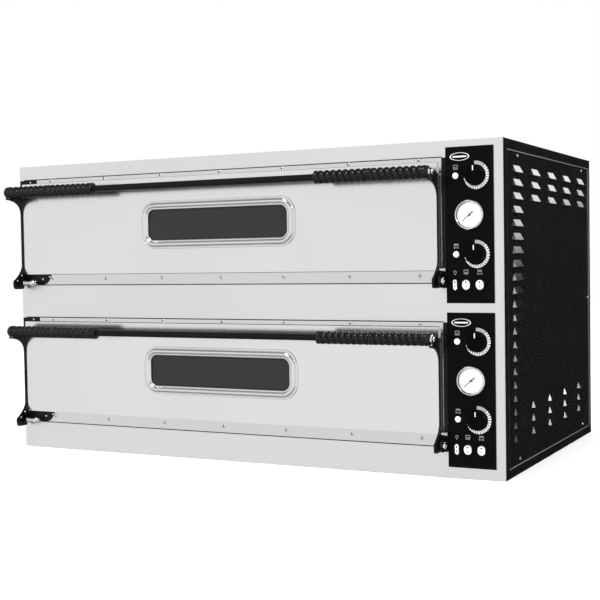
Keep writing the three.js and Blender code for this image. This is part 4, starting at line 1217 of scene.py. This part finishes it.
class OVEN_OT_stage(bpy.types.Operator):
    """Set the floor, the light round the oven and the camera"""

    bl_idname = "oven.stage"
    bl_label = "Stage"

    def execute(self, context):
        stage = context.scene.oven_stage
        self.add_floor(stage.floor_tone)
        self.add_world(context.scene)
        self.add_softbox("softbox_top", (0.0, -0.6, 3.4), (0, 0, 0.3), 3.2, 40, False)
        self.add_softbox("softbox_right", (2.41, -0.25, 1.96), (0.67, 0, 0.4), 0.5, 30, True)
        self.add_softbox("softbox_strip", (0.1, -1.7, 2.5), (0, -0.45, 0.4), 0.7, 26, True)
        self.add_softbox("softbox_left", (-2.6, -3.0, 2.2), (0, 0, 0.4), 1.6, 40, False)
        self.add_camera(context.scene, stage)
        context.scene.view_settings.view_transform = "Standard"
        return {"FINISHED"}

    def add_floor(self, tone):
        bm = bmesh.new()
        bmesh.ops.create_circle(bm, cap_ends=True, segments=96, radius=9,
                                matrix=Matrix.Translation((0, 0, -0.0005)))
        mesh = bpy.data.meshes.new("floor")
        bm.to_mesh(mesh)
        bm.free()
        material, tree, shader = plain_shader("Pale floor", Roughness=0.85, Specular_IOR_Level=0.2)
        place = node(tree, "ShaderNodeTexCoord").outputs["Object"]
        cloud = node(tree, "ShaderNodeTexNoise", Vector=place, Scale=1.2, Detail=2.0)
        pale = (*tone, 1)
        softer = tuple(c * 0.985 for c in tone) + (1,)
        tree.links.new(mix_colour(tree, cloud.outputs[0], softer, pale), shader.inputs["Base Color"])
        mesh.materials.append(material)
        floor = bpy.data.objects.new("floor", mesh)
        floor.visible_glossy = False
        bpy.context.scene.collection.objects.link(floor)

    def add_world(self, scene):
        """Bright ahead, dark behind with one high panel in reflections, and even light on matt faces."""
        world = bpy.data.worlds.new("Studio")
        world.use_nodes = True
        tree = world.node_tree
        tree.nodes.clear()
        way = node(tree, "ShaderNodeTexCoord").outputs["Generated"]
        parts = node(tree, "ShaderNodeSeparateXYZ", Vector=way)
        x, y, z = parts.outputs
        ahead = ramp(tree, y, 0.3, -0.35)
        level = ramp(tree, math_node(tree, "ABSOLUTE", z), 0.22, 0.62, 1.0, 0.5)
        slope = math_node(tree, "MULTIPLY", x, -0.25)
        low_edge = ramp(tree, math_node(tree, "ADD", z, slope), 0.165, 0.196)
        behind = ramp(tree, y, 0.6, 0.8)
        side = ramp(tree, x, 0.27, 0.22)
        panel = math_node(tree, "MULTIPLY", math_node(tree, "MULTIPLY", low_edge, behind), side)
        light = math_node(tree, "MULTIPLY", math_node(tree, "MULTIPLY", ahead, level), 1.04)
        light = math_node(tree, "MAXIMUM", light, math_node(tree, "MULTIPLY", panel, 3.6))
        light = math_node(tree, "MAXIMUM", light, 0.018)
        studio = node(tree, "ShaderNodeBackground", Strength=light)
        fill = node(tree, "ShaderNodeBackground", Color=(1, 1, 1, 1), Strength=1.1)
        seen = node(tree, "ShaderNodeBackground", Color=(1, 1, 1, 1), Strength=1.0)
        path = node(tree, "ShaderNodeLightPath")
        around = node(tree, "ShaderNodeMixShader", i0=path.outputs["Is Glossy Ray"],
                      i1=fill.outputs[0], i2=studio.outputs[0])
        mixed = node(tree, "ShaderNodeMixShader", i0=path.outputs["Is Camera Ray"],
                     i1=around.outputs[0], i2=seen.outputs[0])
        out = tree.nodes.new("ShaderNodeOutputWorld")
        tree.links.new(mixed.outputs[0], out.inputs[0])
        scene.world = world

    def add_softbox(self, name, place, target, size, power, in_gloss):
        light = bpy.data.lights.new(name, "AREA")
        light.shape = "SQUARE"
        light.size = size
        light.energy = power
        lamp = bpy.data.objects.new(name, light)
        lamp.location = place
        lamp.rotation_euler = (Vector(target) - Vector(place)).to_track_quat("-Z", "Y").to_euler()
        lamp.visible_glossy = in_gloss
        bpy.context.scene.collection.objects.link(lamp)

    def add_camera(self, scene, stage):
        yaw, pitch, roll = stage.camera_yaw, stage.camera_pitch, stage.camera_roll
        ahead = Vector((-math.sin(yaw) * math.cos(pitch), math.cos(yaw) * math.cos(pitch), math.sin(pitch)))
        level = Vector((math.cos(yaw), math.sin(yaw), 0))
        upright = level.cross(ahead)
        right = level * math.cos(roll) + upright * math.sin(roll)
        up = upright * math.cos(roll) - level * math.sin(roll)
        data = bpy.data.cameras.new("camera")
        data.sensor_width = 36
        data.lens = stage.camera_lens
        camera = bpy.data.objects.new("camera", data)
        turn = Matrix((right, up, -ahead)).transposed().to_4x4()
        camera.matrix_world = Matrix.Translation(stage.camera_place) @ turn
        scene.collection.objects.link(camera)
        scene.camera = camera


OPERATORS = (
    OVEN_OT_casing,
    OVEN_OT_flanges,
    OVEN_OT_doors,
    OVEN_OT_handles,
    OVEN_OT_hinges,
    OVEN_OT_panels,
    OVEN_OT_knobs,
    OVEN_OT_gauges,
    OVEN_OT_switches,
    OVEN_OT_chambers,
    OVEN_OT_stage,
)
SETTINGS = (
    ("oven_looks", OvenLooks),
    ("oven_details", OvenDetails),
    ("oven_stage", OvenStage),
)


class OVEN_PT_parts(bpy.types.Panel):
    """Lists the oven's pieces and the stage"""

    bl_idname = "OVEN_PT_parts"
    bl_label = "Pizza oven"
    bl_space_type = "VIEW_3D"
    bl_region_type = "UI"
    bl_category = "Pizza oven"

    def draw(self, context):
        for name, kind in SETTINGS:
            settings = getattr(context.scene, name)
            for key in kind.__annotations__:
                self.layout.prop(settings, key)
        for operator in OPERATORS:
            self.layout.operator(operator.bl_idname)


CLASSES = tuple(kind for _, kind in SETTINGS) + OPERATORS + (OVEN_PT_parts,)


def register():
    for kind in CLASSES:
        bpy.utils.register_class(kind)
    for name, kind in SETTINGS:
        setattr(bpy.types.Scene, name, bpy.props.PointerProperty(type=kind))


def unregister():
    for name, _ in SETTINGS:
        delattr(bpy.types.Scene, name)
    for kind in reversed(CLASSES):
        bpy.utils.unregister_class(kind)


def main():
    register()
    make_finishes(bpy.context.scene.oven_looks)
    for operator in OPERATORS:
        group, name = operator.bl_idname.split(".")
        getattr(getattr(bpy.ops, group), name)()


if __name__ == "__main__":
    main()
